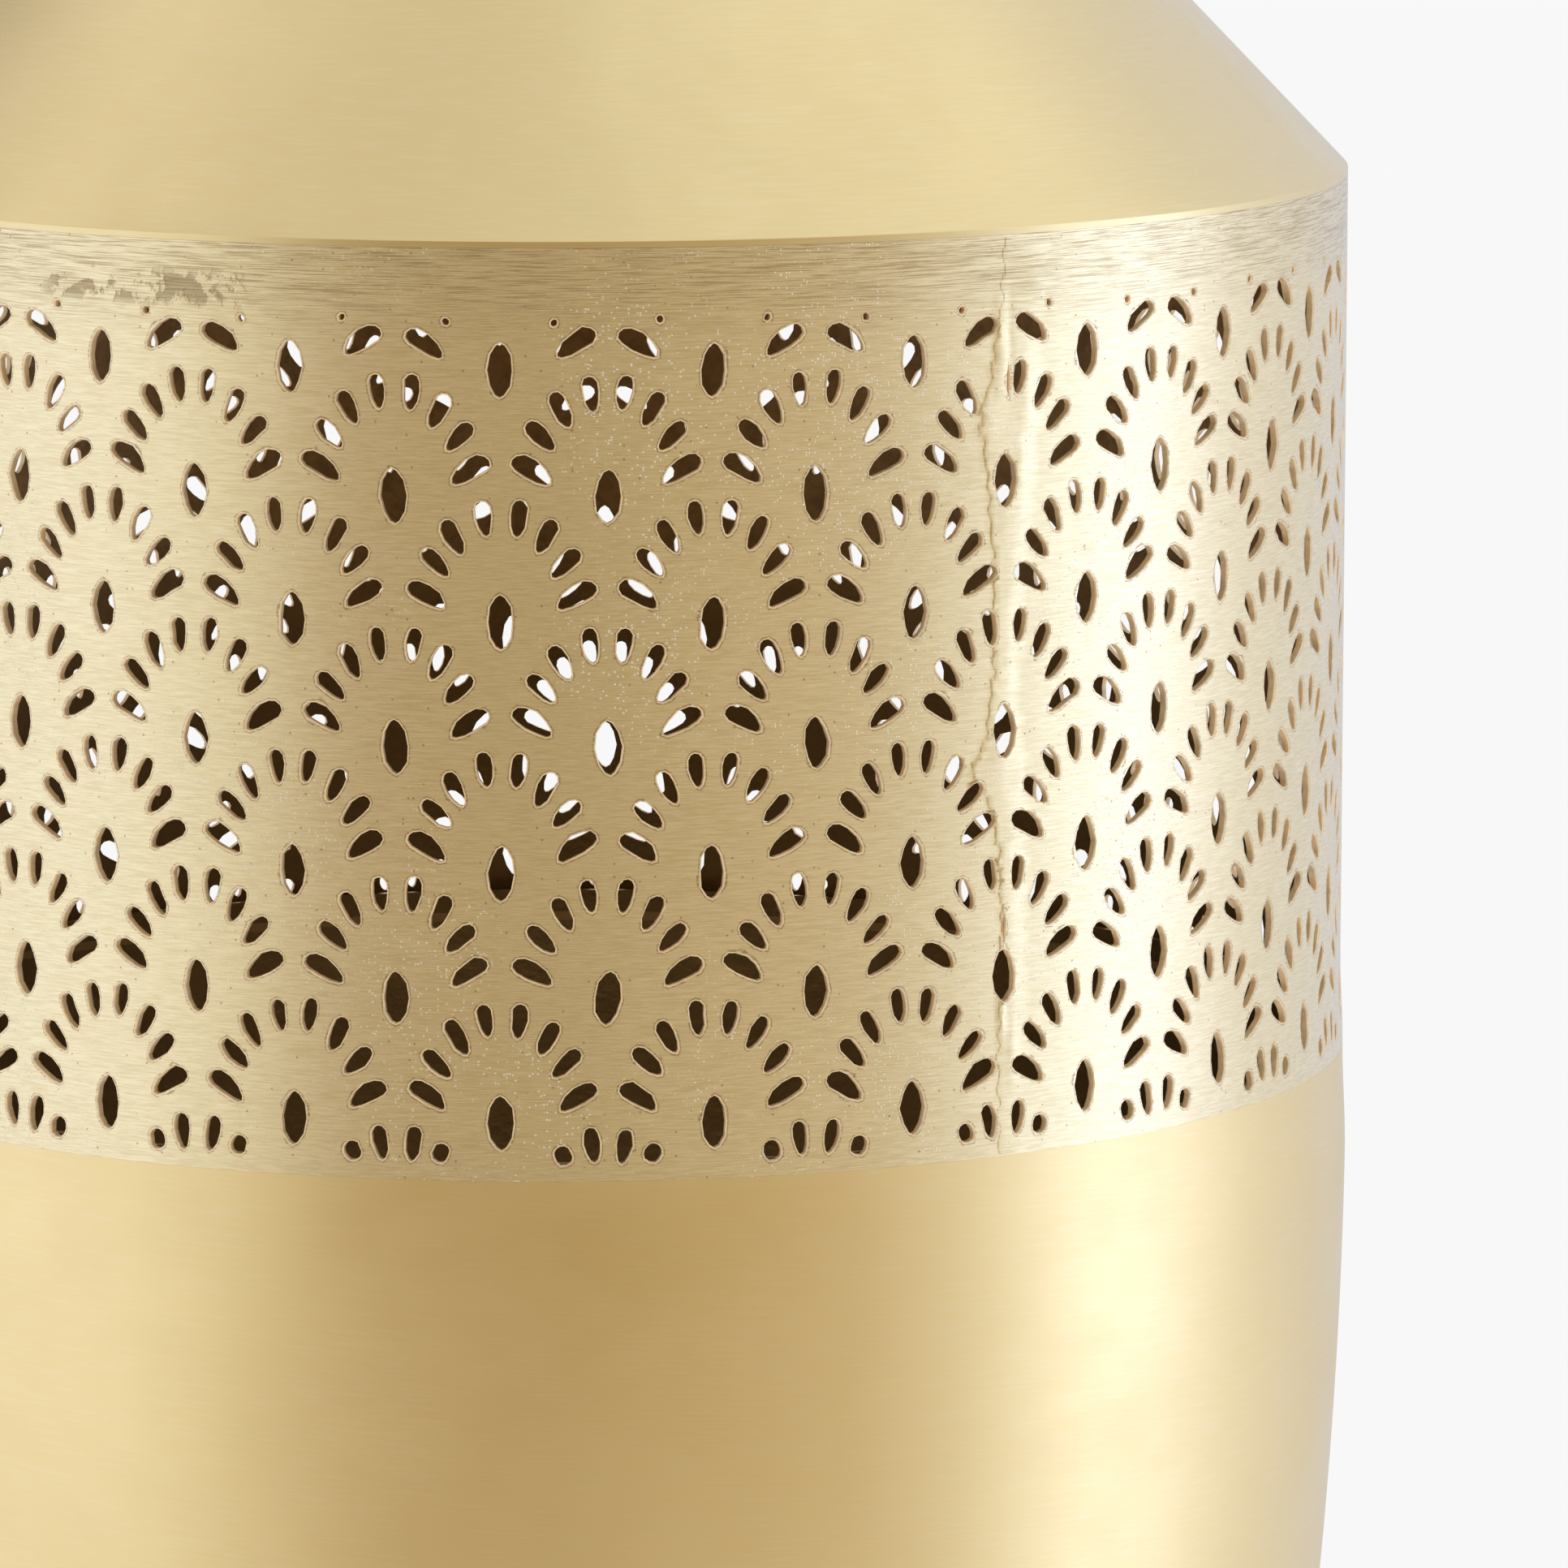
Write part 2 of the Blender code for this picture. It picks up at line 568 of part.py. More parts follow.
def make_filament():
    """Two lead wires stand clear of the stem's end and carry a zigzag filament."""
    top = stem_foot - GAP
    low = bulb_foot + BULB_RADIUS - 4.0
    for name, side in (("lead_wire_1", -1), ("lead_wire_2", 1)):
        wire_curve(name, [(side * 1.1, 0.0, top), (side * 1.6, 0.0, top - 3.0),
                          (side * 7.5, 0.0, low + 1.0)], 0.35, plated_steel)
    span = 6.4
    count = 9
    points = []
    for i in range(count):
        across = -span + 2 * span * i / (count - 1)
        points.append((across, 0.0, low + (1.6 if i % 2 else -1.6)))
    wire_curve("filament", points, 0.25, tungsten)


# ---- assembly ------------------------------------------------------------------
ring = hoop("hanging_ring", RING_MAJOR, wire, ring_centre, cast_brass, upright_about="X", major_steps=36)
make_eye()
make_cord_bush()
washer("cap_washer", 14.0, washer_top, 1.5, cast_brass)
make_cap()
make_neck()
make_neck_screws()
make_cone()
make_band()
make_barrel()
make_mouth_hoop()
make_tube()
make_earth_tag()
washer("lock_washer", 8.6, lock_washer_top, 1.0, plated_steel, steps=20)
hexagon_nut("lock_nut", 14.0, nut_top, 4.0)
make_holder_cap()
make_holder_shell()
make_carrier()
make_contacts()
make_screw_shell()
make_bulb_cap()
make_bulb_insulator()
make_bulb_tip()
make_glass()
make_stem()
make_filament()


def pivot(name, height, parent=None):
    axis = bpy.data.objects.new(name, None)
    lantern_parts.objects.link(axis)
    axis.location.z = height * mm
    axis.parent = parent
    if parent:
        axis.location.z -= parent.location.z
    return axis


swing_pivot = pivot("swing_pivot", swing_axis)
bulb_pivot = pivot("bulb_pivot", bulb_tip, parent=swing_pivot)
bpy.context.view_layer.update()
bulb_nodes = ("bulb_cap", "bulb_insulator", "bulb_tip", "bulb_glass", "glass_stem",
              "lead_wire_1", "lead_wire_2", "filament")
for item in list(lantern_parts.objects) + list(cutters.objects):
    if item.type == "EMPTY" or item is ring:
        continue
    carrier = bulb_pivot if item.name in bulb_nodes else swing_pivot
    item.parent = carrier
    item.matrix_parent_inverse = carrier.matrix_world.inverted()
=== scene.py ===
import json
import random
from math import atan2, ceil, cos, exp, hypot, pi, radians, sin, sqrt, tan

import bmesh
import bpy
from mathutils import Matrix, Vector
from mathutils.geometry import delaunay_2d_cdt


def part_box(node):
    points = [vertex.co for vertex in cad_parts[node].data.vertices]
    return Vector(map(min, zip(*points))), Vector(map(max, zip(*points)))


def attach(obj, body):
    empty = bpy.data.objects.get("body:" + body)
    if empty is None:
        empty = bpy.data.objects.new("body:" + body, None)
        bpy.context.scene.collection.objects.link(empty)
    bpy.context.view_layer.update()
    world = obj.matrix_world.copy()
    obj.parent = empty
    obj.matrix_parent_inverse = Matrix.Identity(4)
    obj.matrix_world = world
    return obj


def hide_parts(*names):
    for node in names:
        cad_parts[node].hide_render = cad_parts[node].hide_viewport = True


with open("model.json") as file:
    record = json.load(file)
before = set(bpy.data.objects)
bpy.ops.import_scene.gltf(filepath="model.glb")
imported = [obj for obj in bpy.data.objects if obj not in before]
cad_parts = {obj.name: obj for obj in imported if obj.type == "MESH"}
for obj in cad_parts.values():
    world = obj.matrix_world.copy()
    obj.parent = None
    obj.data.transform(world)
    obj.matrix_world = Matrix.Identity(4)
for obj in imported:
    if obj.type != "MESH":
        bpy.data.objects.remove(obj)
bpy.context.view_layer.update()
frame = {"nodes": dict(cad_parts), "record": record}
mm = 0.001


# Shader building
def addNode(tree, kind, inputs=None, **settings):
    made = tree.nodes.new(kind)
    for name, value in settings.items():
        setattr(made, name, value)
    for name, value in (inputs or {}).items():
        if isinstance(value, bpy.types.NodeSocket):
            tree.links.new(value, made.inputs[name])
        else:
            made.inputs[name].default_value = value
    return made


def calc(tree, operation, *values):
    node = addNode(tree, "ShaderNodeMath", dict(enumerate(values)), operation=operation)
    return node.outputs[0]


def ranged(tree, value, low, high, toLow=0.0, toHigh=1.0):
    node = addNode(tree, "ShaderNodeMapRange", {"Value": value, "From Min": low, "From Max": high,
                                                "To Min": toLow, "To Max": toHigh})
    node.interpolation_type = "SMOOTHSTEP"
    return node.outputs["Result"]


def colourRamp(tree, factor, stops):
    node = addNode(tree, "ShaderNodeValToRGB", {"Fac": factor})
    elements = node.color_ramp.elements
    while len(elements) < len(stops):
        elements.new(0.5)
    for element, (position, colour) in zip(elements, stops):
        element.position = position
        element.color = (*colour, 1.0)
    return node.outputs["Color"]


def mixed(tree, factor, first, second):
    node = addNode(tree, "ShaderNodeMix", data_type="RGBA")
    for index, value in ((0, factor), (6, first), (7, second)):
        if isinstance(value, bpy.types.NodeSocket):
            tree.links.new(value, node.inputs[index])
        elif index:
            node.inputs[index].default_value = (*value, 1.0)
        else:
            node.inputs[index].default_value = value
    return node.outputs[2]


def startGroup(name, inputs, outputs):
    group = bpy.data.node_groups.new(name, "ShaderNodeTree")
    for label, value in inputs.items():
        socket = group.interface.new_socket(label, in_out="INPUT", socket_type="NodeSocketFloat")
        socket.default_value = value
    for label, kind in outputs.items():
        group.interface.new_socket(label, in_out="OUTPUT", socket_type="NodeSocket" + kind)
    return group, group.nodes.new("NodeGroupInput").outputs, group.nodes.new("NodeGroupOutput").inputs


def objectPoint(tree):
    return addNode(tree, "ShaderNodeTexCoord").outputs["Object"]


def objectAxes(tree):
    return addNode(tree, "ShaderNodeSeparateXYZ", {0: objectPoint(tree)}).outputs


def makeTurnedGrain():
    # Streaks that run round the lantern's axis, with a slight lean.
    group, given, result = startGroup(
        "turnedGrain", {"Round": 14.0, "Up": 2500.0, "Lean": 0.0, "Detail": 4.0}, {"Streak": "Float"})
    x, y, z = objectAxes(group)
    squares = calc(group, "ADD", calc(group, "MULTIPLY", x, x), calc(group, "MULTIPLY", y, y))
    radius = calc(group, "SQRT", squares)
    leaning = calc(group, "ADD", z, calc(group, "MULTIPLY", x, given["Lean"]))
    where = addNode(group, "ShaderNodeCombineXYZ", {
        "X": calc(group, "MULTIPLY", calc(group, "DIVIDE", x, radius), given["Round"]),
        "Y": calc(group, "MULTIPLY", calc(group, "DIVIDE", y, radius), given["Round"]),
        "Z": calc(group, "MULTIPLY", leaning, given["Up"])}).outputs[0]
    noise = addNode(group, "ShaderNodeTexNoise", {
        "Vector": where, "Scale": 1.0, "Detail": given["Detail"], "Roughness": 0.62})
    group.links.new(noise.outputs[0], result["Streak"])
    return group


def makePits():
    # Sparse round specks: the share of cells that hold one, and its size against the cell.
    group, given, result = startGroup(
        "finePits", {"Cells": 900.0, "Share": 0.2, "Size": 0.3}, {"Mask": "Float"})
    point = objectPoint(group)
    cells = addNode(group, "ShaderNodeTexVoronoi", {"Vector": point, "Scale": given["Cells"]})
    lot = addNode(group, "ShaderNodeSeparateColor", {0: cells.outputs["Color"]}).outputs[0]
    chosen = calc(group, "LESS_THAN", lot, given["Share"])
    core = calc(group, "MULTIPLY", given["Size"], 0.55)
    inside = ranged(group, cells.outputs["Distance"], given["Size"], core)
    group.links.new(calc(group, "MULTIPLY", chosen, inside), result["Mask"])
    return group


def makeClouds():
    # Broad uneven toning of the metal.
    group, given, result = startGroup(
        "toneClouds", {"Size": 12.0, "Low": 0.4, "High": 0.7}, {"Mask": "Float"})
    point = objectPoint(group)
    noise = addNode(group, "ShaderNodeTexNoise", {
        "Vector": point, "Scale": given["Size"], "Detail": 5.0, "Roughness": 0.6})
    group.links.new(ranged(group, noise.outputs[0], given["Low"], given["High"]), result["Mask"])
    return group


turnedGrain, finePits, toneClouds = makeTurnedGrain(), makePits(), makeClouds()


def useGroup(tree, group, **values):
    node = addNode(tree, "ShaderNodeGroup")
    node.node_tree = group
    for label, value in values.items():
        node.inputs[label].default_value = value
    return node.outputs[0]


def newMaterial(name, colour, roughness, metallic=1.0, **sockets):
    made = bpy.data.materials.new(name)
    made.use_nodes = True
    shader = made.node_tree.nodes["Principled BSDF"]
    settings = {"Base Color": (*colour, 1.0), "Roughness": roughness, "Metallic": metallic, **sockets}
    for label, value in settings.items():
        shader.inputs[label].default_value = value
    return made, made.node_tree, shader


def setInput(tree, shader, **sockets):
    for label, value in sockets.items():
        tree.links.new(value, shader.inputs[label.replace("_", " ")])


def bump(tree, height, distance, strength=1.0, normal=None):
    node = addNode(tree, "ShaderNodeBump", {"Height": height, "Distance": distance, "Strength": strength})
    if normal:
        tree.links.new(normal, node.inputs["Normal"])
    return node.outputs[0]


# Brass finishes
brass = {
    "band": (0.87, 0.735, 0.46),
    "cone": (0.87, 0.70, 0.38),
    "barrel": (0.92, 0.72, 0.375),
    "sootAndShade": (0.25, 0.125, 0.03),        # dirt in grooves and round the holes, and painted shade at the holes' edges
    "inside": (0.60, 0.395, 0.18),       # unpolished inner side
    # painted shade: the inner side darkens to this towards the bottom
    "innerBarrelShade": (0.31, 0.195, 0.075),
    "sawn": (0.98, 0.74, 0.44),
    # painted glints and a painted highlight on the hole rims
    "paintedGlint": (1.0, 0.96, 0.84),
    "solder": (0.27, 0.19, 0.09),
}


def uprightTangent(tree):
    # Grooves that run round the axis stretch the reflections upright.
    return addNode(tree, "ShaderNodeTangent", direction_type="RADIAL", axis="Z").outputs[0]


bandFinish = {
    "anisotropy": 0.75,
    "roughness": (0.25, 0.33),
    "low": (0.81, 0.67, 0.40),          # colours between which the fine grain runs
    "high": (0.94, 0.80, 0.52),
    "strip": (4.0, 15.0),               # mm below the edge: sawing marks full, then gone
    "stripDirt": 0.52,
    "tickDirt": 0.6,                    # saw ticks round the holes
    "edgeDirtAndShade": 0.62,                   # painted shade with dirt: a ragged dark line round each bright rim
    "pitDirt": 0.55,
    # painted highlight on each hole's bevel
    "paintedRimHighlight": 0.6,
    "patchTurn": 29.5,                  # solder patch, degrees left of the front
    "patchWidth": (6.5, 9.0),           # degrees each way: full, then gone
    "patchDrop": 6.2,
    "patchHeight": (1.2, 3.0),          # mm each way
    "patchStrength": 0.6,
}


def nearTo(tree, value, centre, full, gone):
    # One within full of the centre, fading to nought at gone.
    away = calc(tree, "ABSOLUTE", calc(tree, "SUBTRACT", value, centre))
    return ranged(tree, away, gone, full)


def makeBandBrass(topZ):
    look = bandFinish
    made, tree, shader = newMaterial("bandBrushedBrass", brass["band"], 0.3, Anisotropic=look["anisotropy"])
    shader.inputs["Anisotropic Rotation"].default_value = 0.25
    x, y, z = objectAxes(tree)
    turn = calc(tree, "ARCTAN2", x, calc(tree, "MULTIPLY", y, -1.0))
    coarse = useGroup(tree, turnedGrain, Round=15.0, Up=7000.0, Detail=5.0)
    fine = useGroup(tree, turnedGrain, Round=34.0, Up=6500.0, Detail=3.0)
    hair = useGroup(tree, turnedGrain, Round=120.0, Up=4200.0, Detail=2.0)
    blotch = useGroup(tree, toneClouds, Size=330.0, Low=0.49, High=0.58)
    cluster = useGroup(tree, toneClouds, Size=34.0, Low=0.47, High=0.66)
    pits = useGroup(tree, finePits, Cells=1500.0, Share=0.035, Size=0.30)
    glintSpots = useGroup(tree, finePits, Cells=2700.0, Share=0.15, Size=0.40)
    rim = addNode(tree, "ShaderNodeAttribute", attribute_name="rim").outputs["Fac"]
    full, gone = look["strip"]
    strip = ranged(tree, z, topZ - gone * mm, topZ - full * mm)
    marks = calc(tree, "MULTIPLY", ranged(tree, coarse, 0.46, 0.62), strip)
    ticks = calc(tree, "MULTIPLY", ranged(tree, hair, 0.54, 0.62), ranged(tree, rim, 0.15, 0.75))
    ragged = ranged(tree, hair, 0.40, 0.56, 0.35, 1.0)
    # Painted shade with dirt: a ragged dark ring just outside each hole's bright rim.
    edgeDirtAndShade = calc(tree, "MULTIPLY", ranged(tree, rim, 0.42, 0.62), ragged)
    edgeDirtAndShade = calc(tree, "MULTIPLY", edgeDirtAndShade, ranged(tree, rim, 0.86, 0.74))
    dirtAndShade = calc(tree, "MULTIPLY", marks, look["stripDirt"])
    for mask, share in ((ticks, "tickDirt"), (edgeDirtAndShade, "edgeDirtAndShade"), (pits, "pitDirt")):
        dirtAndShade = calc(tree, "MAXIMUM", dirtAndShade, calc(tree, "MULTIPLY", mask, look[share]))
    clean = mixed(tree, ranged(tree, fine, 0.36, 0.64), look["low"], look["high"])
    across = nearTo(tree, turn, radians(-look["patchTurn"]), *(radians(a) for a in look["patchWidth"]))
    upward = nearTo(tree, z, topZ - look["patchDrop"] * mm, *(reach * mm for reach in look["patchHeight"]))
    patch = calc(tree, "MULTIPLY", calc(tree, "MULTIPLY", across, upward), blotch)
    # Painted glints in clusters and a painted highlight on each hole's bevel lighten the colour.
    paintedGlint = calc(tree, "MULTIPLY", glintSpots, cluster)
    bright = calc(tree, "MAXIMUM", paintedGlint, ranged(tree, rim, 0.84, 0.94, 0.0, look["paintedRimHighlight"]))
    colour = mixed(tree, calc(tree, "MULTIPLY", patch, look["patchStrength"]), clean, brass["solder"])
    colour = mixed(tree, dirtAndShade, colour, brass["sootAndShade"])
    colour = mixed(tree, bright, colour, brass["paintedGlint"])
    depth = calc(tree, "ADD", 0.4, calc(tree, "MULTIPLY", strip, 0.5))
    height = calc(tree, "ADD", calc(tree, "MULTIPLY", fine, 0.6), calc(tree, "MULTIPLY", coarse, depth))
    specks = calc(tree, "ADD", paintedGlint, calc(tree, "MULTIPLY", patch, -2.0))
    normal = bump(tree, specks, 0.00005, normal=bump(tree, height, 0.00004))
    setInput(tree, shader, Base_Color=colour, Normal=normal, Tangent=uprightTangent(tree),
             Roughness=ranged(tree, coarse, 0.3, 0.7, *look["roughness"]))
    return made


def makeSatinBrass(name, colour, lean, roughest=0.34):
    made, tree, shader = newMaterial(name, colour, 0.3, Anisotropic=0.35)
    shader.inputs["Anisotropic Rotation"].default_value = 0.25
    fine = useGroup(tree, turnedGrain, Round=16.0, Up=3000.0, Lean=lean, Detail=4.0)
    broad = useGroup(tree, turnedGrain, Round=4.0, Up=60.0, Lean=lean, Detail=2.0)
    tone = useGroup(tree, toneClouds, Size=9.0, Low=0.35, High=0.7)
    specks = useGroup(tree, finePits, Cells=130.0, Share=0.05, Size=0.045)
    dents = useGroup(tree, turnedGrain, Round=2.6, Up=17.0, Detail=0.0)
    deeper = tuple(channel * share for channel, share in zip(colour, (0.96, 0.95, 0.91)))
    clean = mixed(tree, tone, colour, deeper)
    clean = mixed(tree, ranged(tree, fine, 0.4, 0.75, 0.0, 0.18), clean, (0.95, 0.86, 0.62))
    setInput(tree, shader, Base_Color=mixed(tree, calc(tree, "MULTIPLY", specks, 0.6), clean, brass["sootAndShade"]),
             Normal=bump(tree, fine, 0.000012, normal=bump(tree, dents, 0.0009)),
             Tangent=uprightTangent(tree),
             Roughness=ranged(tree, broad, 0.3, 0.7, roughest - 0.08, roughest))
    return made


def makeRoughBrass(name, colour, roughness, metallic=1.0, lowColour=None, lowFrom=0.0, lowTo=0.0):
    # The low colour, if given, takes over between the two heights.
    made, tree, shader = newMaterial(name, colour, roughness, metallic)
    tone = useGroup(tree, toneClouds, Size=420.0, Low=0.35, High=0.7)
    darker = tuple(channel * 0.72 for channel in colour)
    finish = mixed(tree, tone, colour, darker)
    if lowColour:
        height = objectAxes(tree)[2]
        finish = mixed(tree, ranged(tree, height, lowFrom, lowTo), finish, lowColour)
    setInput(tree, shader, Base_Color=finish, Normal=bump(tree, tone, 0.00004))
    return made


bandLow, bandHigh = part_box("pierced_band")
bandBrass = makeBandBrass(bandHigh.z)
coneBrass = makeSatinBrass("coneSatinBrass", brass["cone"], 0.0)
barrelBrass = makeSatinBrass("barrelSatinBrass", brass["barrel"], 0.05, roughest=0.40)
sawnBrass = makeRoughBrass("sawnBrass", brass["sawn"], 0.5, metallic=0.2)
# The inner side darkens towards the bottom: painted shade in the lantern's hollow.
insideBrassWithShade = makeRoughBrass("insideBrassWithShade", brass["inside"], 0.5, lowColour=brass["innerBarrelShade"],
                             lowFrom=-238 * mm, lowTo=-272 * mm)


# Pierced band
pierced = {
    "repeats": 25,              # scallop columns of each kind round the band
    "columnTurn": 3.39,         # degrees from the front to the nearest column
    "firstRow": 15.8,           # below the band's upper edge
    "rowPitch": 16.41,
    "rows": 7,
    "wall": 1.0,
    "rimWidth": 0.15,
    "frayWidth": 0.62,          # zone of burrs and dirt round each hole
    "dot": (7.0, 6.3),          # drilled dot, across and up from the eyelet above which it sits
    "seamColumn": 4,
    "cutColumn": 30,            # where the flat sheet's ends meet, behind the lantern
    "jitter": 0.06,
    "flare": 0.42,              # the band widens by this at its foot, to meet the barrel
    "flareHeight": 12.0,
    # across from the seam, row, top and foot above its eyelet's middle, width
    "slits": ((0.25, 1, 15.0, 11.2, 0.32), (0.0, 5, 8.4, 4.5, 0.30)),
    "tile": 5.0,                # spacing of the sheet's inner points
    "seamRow": 0.72,            # closer spacing along and across the seam
    "seamTile": 0.9,
}
# across and up from the almond's centre, length, width, tilt from upright, bend
petals = ((2.2, 13.5, 4.5, 2.0, 8.0, 0.0), (5.9, 11.2, 4.8, 2.1, 27.0, 0.0),
          (8.5, 7.8, 4.8, 2.1, 45.0, 0.05), (9.8, 3.3, 5.7, 2.45, 57.0, 0.32))
petalStations = ((0.06, 0.40), (0.26, 0.80), (0.55, 1.0), (0.82, 0.94), (0.96, 0.55))
stubStations = ((0.08, 0.66), (0.3, 0.95), (0.56, 1.0), (0.80, 0.86), (0.945, 0.5))
almondStations = ((0.05, 0.36), (0.22, 0.80), (0.5, 1.0), (0.78, 0.80), (0.95, 0.36))
dice = random.Random(41)
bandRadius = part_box("shoulder_cone")[1].x / mm
bandTop, bandFoot = bandHigh.z / mm, bandLow.z / mm
sheetLength = 2 * pi * bandRadius
halfPitch = sheetLength / pierced["repeats"] / 2


def leafOutline(length, width, stations, bend=0.0):
    # Closed outline, pointed end down, anticlockwise from the point.
    right = [(share * width / 2, (t - 0.5) * length, t) for t, share in stations]
    left = [(-share * width / 2, (t - 0.5) * length, t) for t, share in reversed(stations)]
    outline = [(0.0, -length / 2, 0.0), *right, (0.0, length / 2, 1.0), *left]
    return [(x - bend * 4 * t * (1 - t), y) for x, y, t in outline]


def placed(outline, acrossAt, upAt, tilt, roughly):
    # Turned clockwise by tilt degrees and moved, with the unevenness of hand sawing.
    turn = radians(tilt + dice.gauss(0, 1.6) * roughly)
    grow = 1 + dice.gauss(0, 0.025) * roughly
    acrossAt += dice.gauss(0, 0.1) * roughly
    upAt += dice.gauss(0, 0.1) * roughly
    points = []
    for x, y in outline:
        push = 1 + dice.gauss(0, pierced["jitter"]) * roughly
        x, y = x * grow * push, y * grow
        points.append((acrossAt + x * cos(turn) + y * sin(turn), upAt - x * sin(turn) + y * cos(turn)))
    return points


def petalHole(side, petal, centre):
    across, up, length, width, tilt, bend = petal
    outline = leafOutline(length, width, petalStations, bend * side)
    return placed(outline, centre[0] + side * across, centre[1] + up, side * tilt, 1.0)


def stubHole(side, centre):
    # An outer upper petal that the saw left short, at the foot of the pattern.
    outline = leafOutline(2.6, 2.2, stubStations)
    return placed(outline, centre[0] + side * petals[1][0], centre[1] + petals[0][1] - 1.2, side * 20.0, 1.0)


def dotHole(side, centre):
    outline = [(0.42 * sin(2 * pi * i / 7), 0.5 * cos(2 * pi * i / 7)) for i in range(7, 0, -1)]
    across, up = pierced["dot"]
    return placed(outline, centre[0] + side * across, centre[1] + up, side * 30.0, 1.5)


def slitHole(acrossAt, top, foot, width):
    middle = (top + foot) / 2
    return [(acrossAt, foot), (acrossAt + width / 2, middle - 0.6), (acrossAt + width / 2, middle + 0.8),
            (acrossAt, top), (acrossAt - width / 2, middle + 0.7), (acrossAt - width / 2, middle - 0.8)]


columnStep = 180 / pierced["repeats"]      # degrees
seamAt = (pierced["seamColumn"] - pierced["cutColumn"]) % (2 * pierced["repeats"]) * halfPitch


def rowHeight(row):
    return bandTop - pierced["firstRow"] - row * pierced["rowPitch"]


def allHoles():
    # Outlines on the flat sheet, in mm, and the almonds that lie on the cut.
    holes, cutAlmonds = [], []
    for place in range(2 * pierced["repeats"]):
        column = place + pierced["cutColumn"]
        firstRow = 1 if column % 2 == 0 else 0
        for row in range(firstRow, pierced["rows"] + firstRow, 2):
            centre = (place * halfPitch, rowHeight(row))
            onCut = place == 0
            if row < pierced["rows"]:
                almond = placed(leafOutline(7.0, 3.36, almondStations), *centre, 0.0, 0.0 if onCut else 1.0)
                holes.append(almond)
                if onCut:
                    cutAlmonds.append(almond)
            for side in (-1, 1):
                if row == 0:
                    holes.append(petalHole(side, petals[3], centre))
                    holes.append(dotHole(side, centre))
                elif row == pierced["rows"]:
                    holes.append(petalHole(side, petals[0], centre))
                    holes.append(stubHole(side, centre))
                else:
                    for number, petal in enumerate(petals):
                        atSeam = column % (2 * pierced["repeats"]) == pierced["seamColumn"]
                        brazedOver = atSeam and row == 1 and side < 0 and number == 0
                        if not brazedOver:
                            holes.append(petalHole(side, petal, centre))
    for across, row, top, foot, width in pierced["slits"]:
        holes.append(slitHole(seamAt + across, rowHeight(row) + top, rowHeight(row) + foot, width))
    for i, hole in enumerate(holes):
        if sum(x for x, _ in hole) / len(hole) < -0.5:
            holes[i] = [(x + sheetLength, y) for x, y in hole]
    return holes, cutAlmonds


def offset(outline, distance):
    # The outline moved outwards along its corner directions.
    moved = []
    count = len(outline)
    for i, (x, y) in enumerate(outline):
        before, after = Vector(outline[i - 1]), Vector(outline[(i + 1) % count])
        first = (Vector((x, y)) - before).normalized()
        second = (after - Vector((x, y))).normalized()
        along = (first + second).normalized()
        reach = distance / max(sqrt(max((1 + first.dot(second)) / 2, 0.0)), 0.45)
        moved.append((x + along.y * reach, y - along.x * reach))
    return moved


def insideOutline(point, outline):
    within = False
    x, y = point
    for (ax, ay), (bx, by) in zip(outline, outline[1:] + outline[:1]):
        if (ay > y) != (by > y) and x < (bx - ax) * (y - ay) / (by - ay) + ax:
            within = not within
    return within


def clearOf(points, outlines, margin):
    # The points that keep a margin from every outline.
    centres = [(sum(p[0] for p in o) / len(o), sum(p[1] for p in o) / len(o)) for o in outlines]
    buckets = {}
    for outline, (x, y) in zip(outlines, centres):
        buckets.setdefault((int(x // 8), int(y // 8)), []).append(outline)
    kept = []
    for x, y in points:
        column, row = int(x // 8), int(y // 8)
        near = [o for i in (-1, 0, 1) for j in (-1, 0, 1) for o in buckets.get((column + i, row + j), ())]
        if any(insideOutline((x, y), o) or min(hypot(x - a, y - b) for a, b in o) < margin for o in near):
            continue
        kept.append((x, y))
    return kept


def fillSheet(holes, cutAlmonds, extraPoints):
    # Triangles of the flat sheet with the holes left out.
    step = 4.0
    wide = ceil(sheetLength / step)
    tall = ceil((bandTop - bandFoot) / step)
    levels = [bandFoot + (bandTop - bandFoot) * i / tall for i in range(1, tall)]
    half = {}
    for almond in cutAlmonds:
        top = max(y for _, y in almond)
        foot = min(y for _, y in almond)
        levels = [level for level in levels if not foot - 0.5 < level < top + 0.5]
        middle = len(almond) // 2
        half[foot] = (almond[:middle + 1], [almond[0]] + almond[:middle - 1:-1])
    side = sorted([(level, None) for level in levels] + [(foot, pair) for foot, pair in half.items()],
                  key=lambda entry: entry[0])
    leftSide, rightSide = [], []
    for level, pair in side:
        if pair:
            leftSide += pair[0]
            rightSide += [(x + sheetLength, y) for x, y in pair[1]]
        else:
            leftSide.append((0.0, level))
            rightSide.append((sheetLength, level))
    foot = [(sheetLength * i / wide, bandFoot) for i in range(wide + 1)]
    top = [(sheetLength * i / wide, bandTop) for i in range(wide, -1, -1)]
    outline = foot + rightSide + top + leftSide[::-1]
    points, faces = [Vector(p) for p in outline], [list(range(len(outline)))]
    for hole in holes:
        start = len(points)
        points += [Vector(p) for p in hole]
        faces.append(list(range(start, len(points))))
    points += [Vector(p) for p in extraPoints]
    spots, _, triangles, _, _, origins = delaunay_2d_cdt(points, [], faces, 1, 0.00001, True)
    return spots, [t for t, origin in zip(triangles, origins) if origin == [0]]


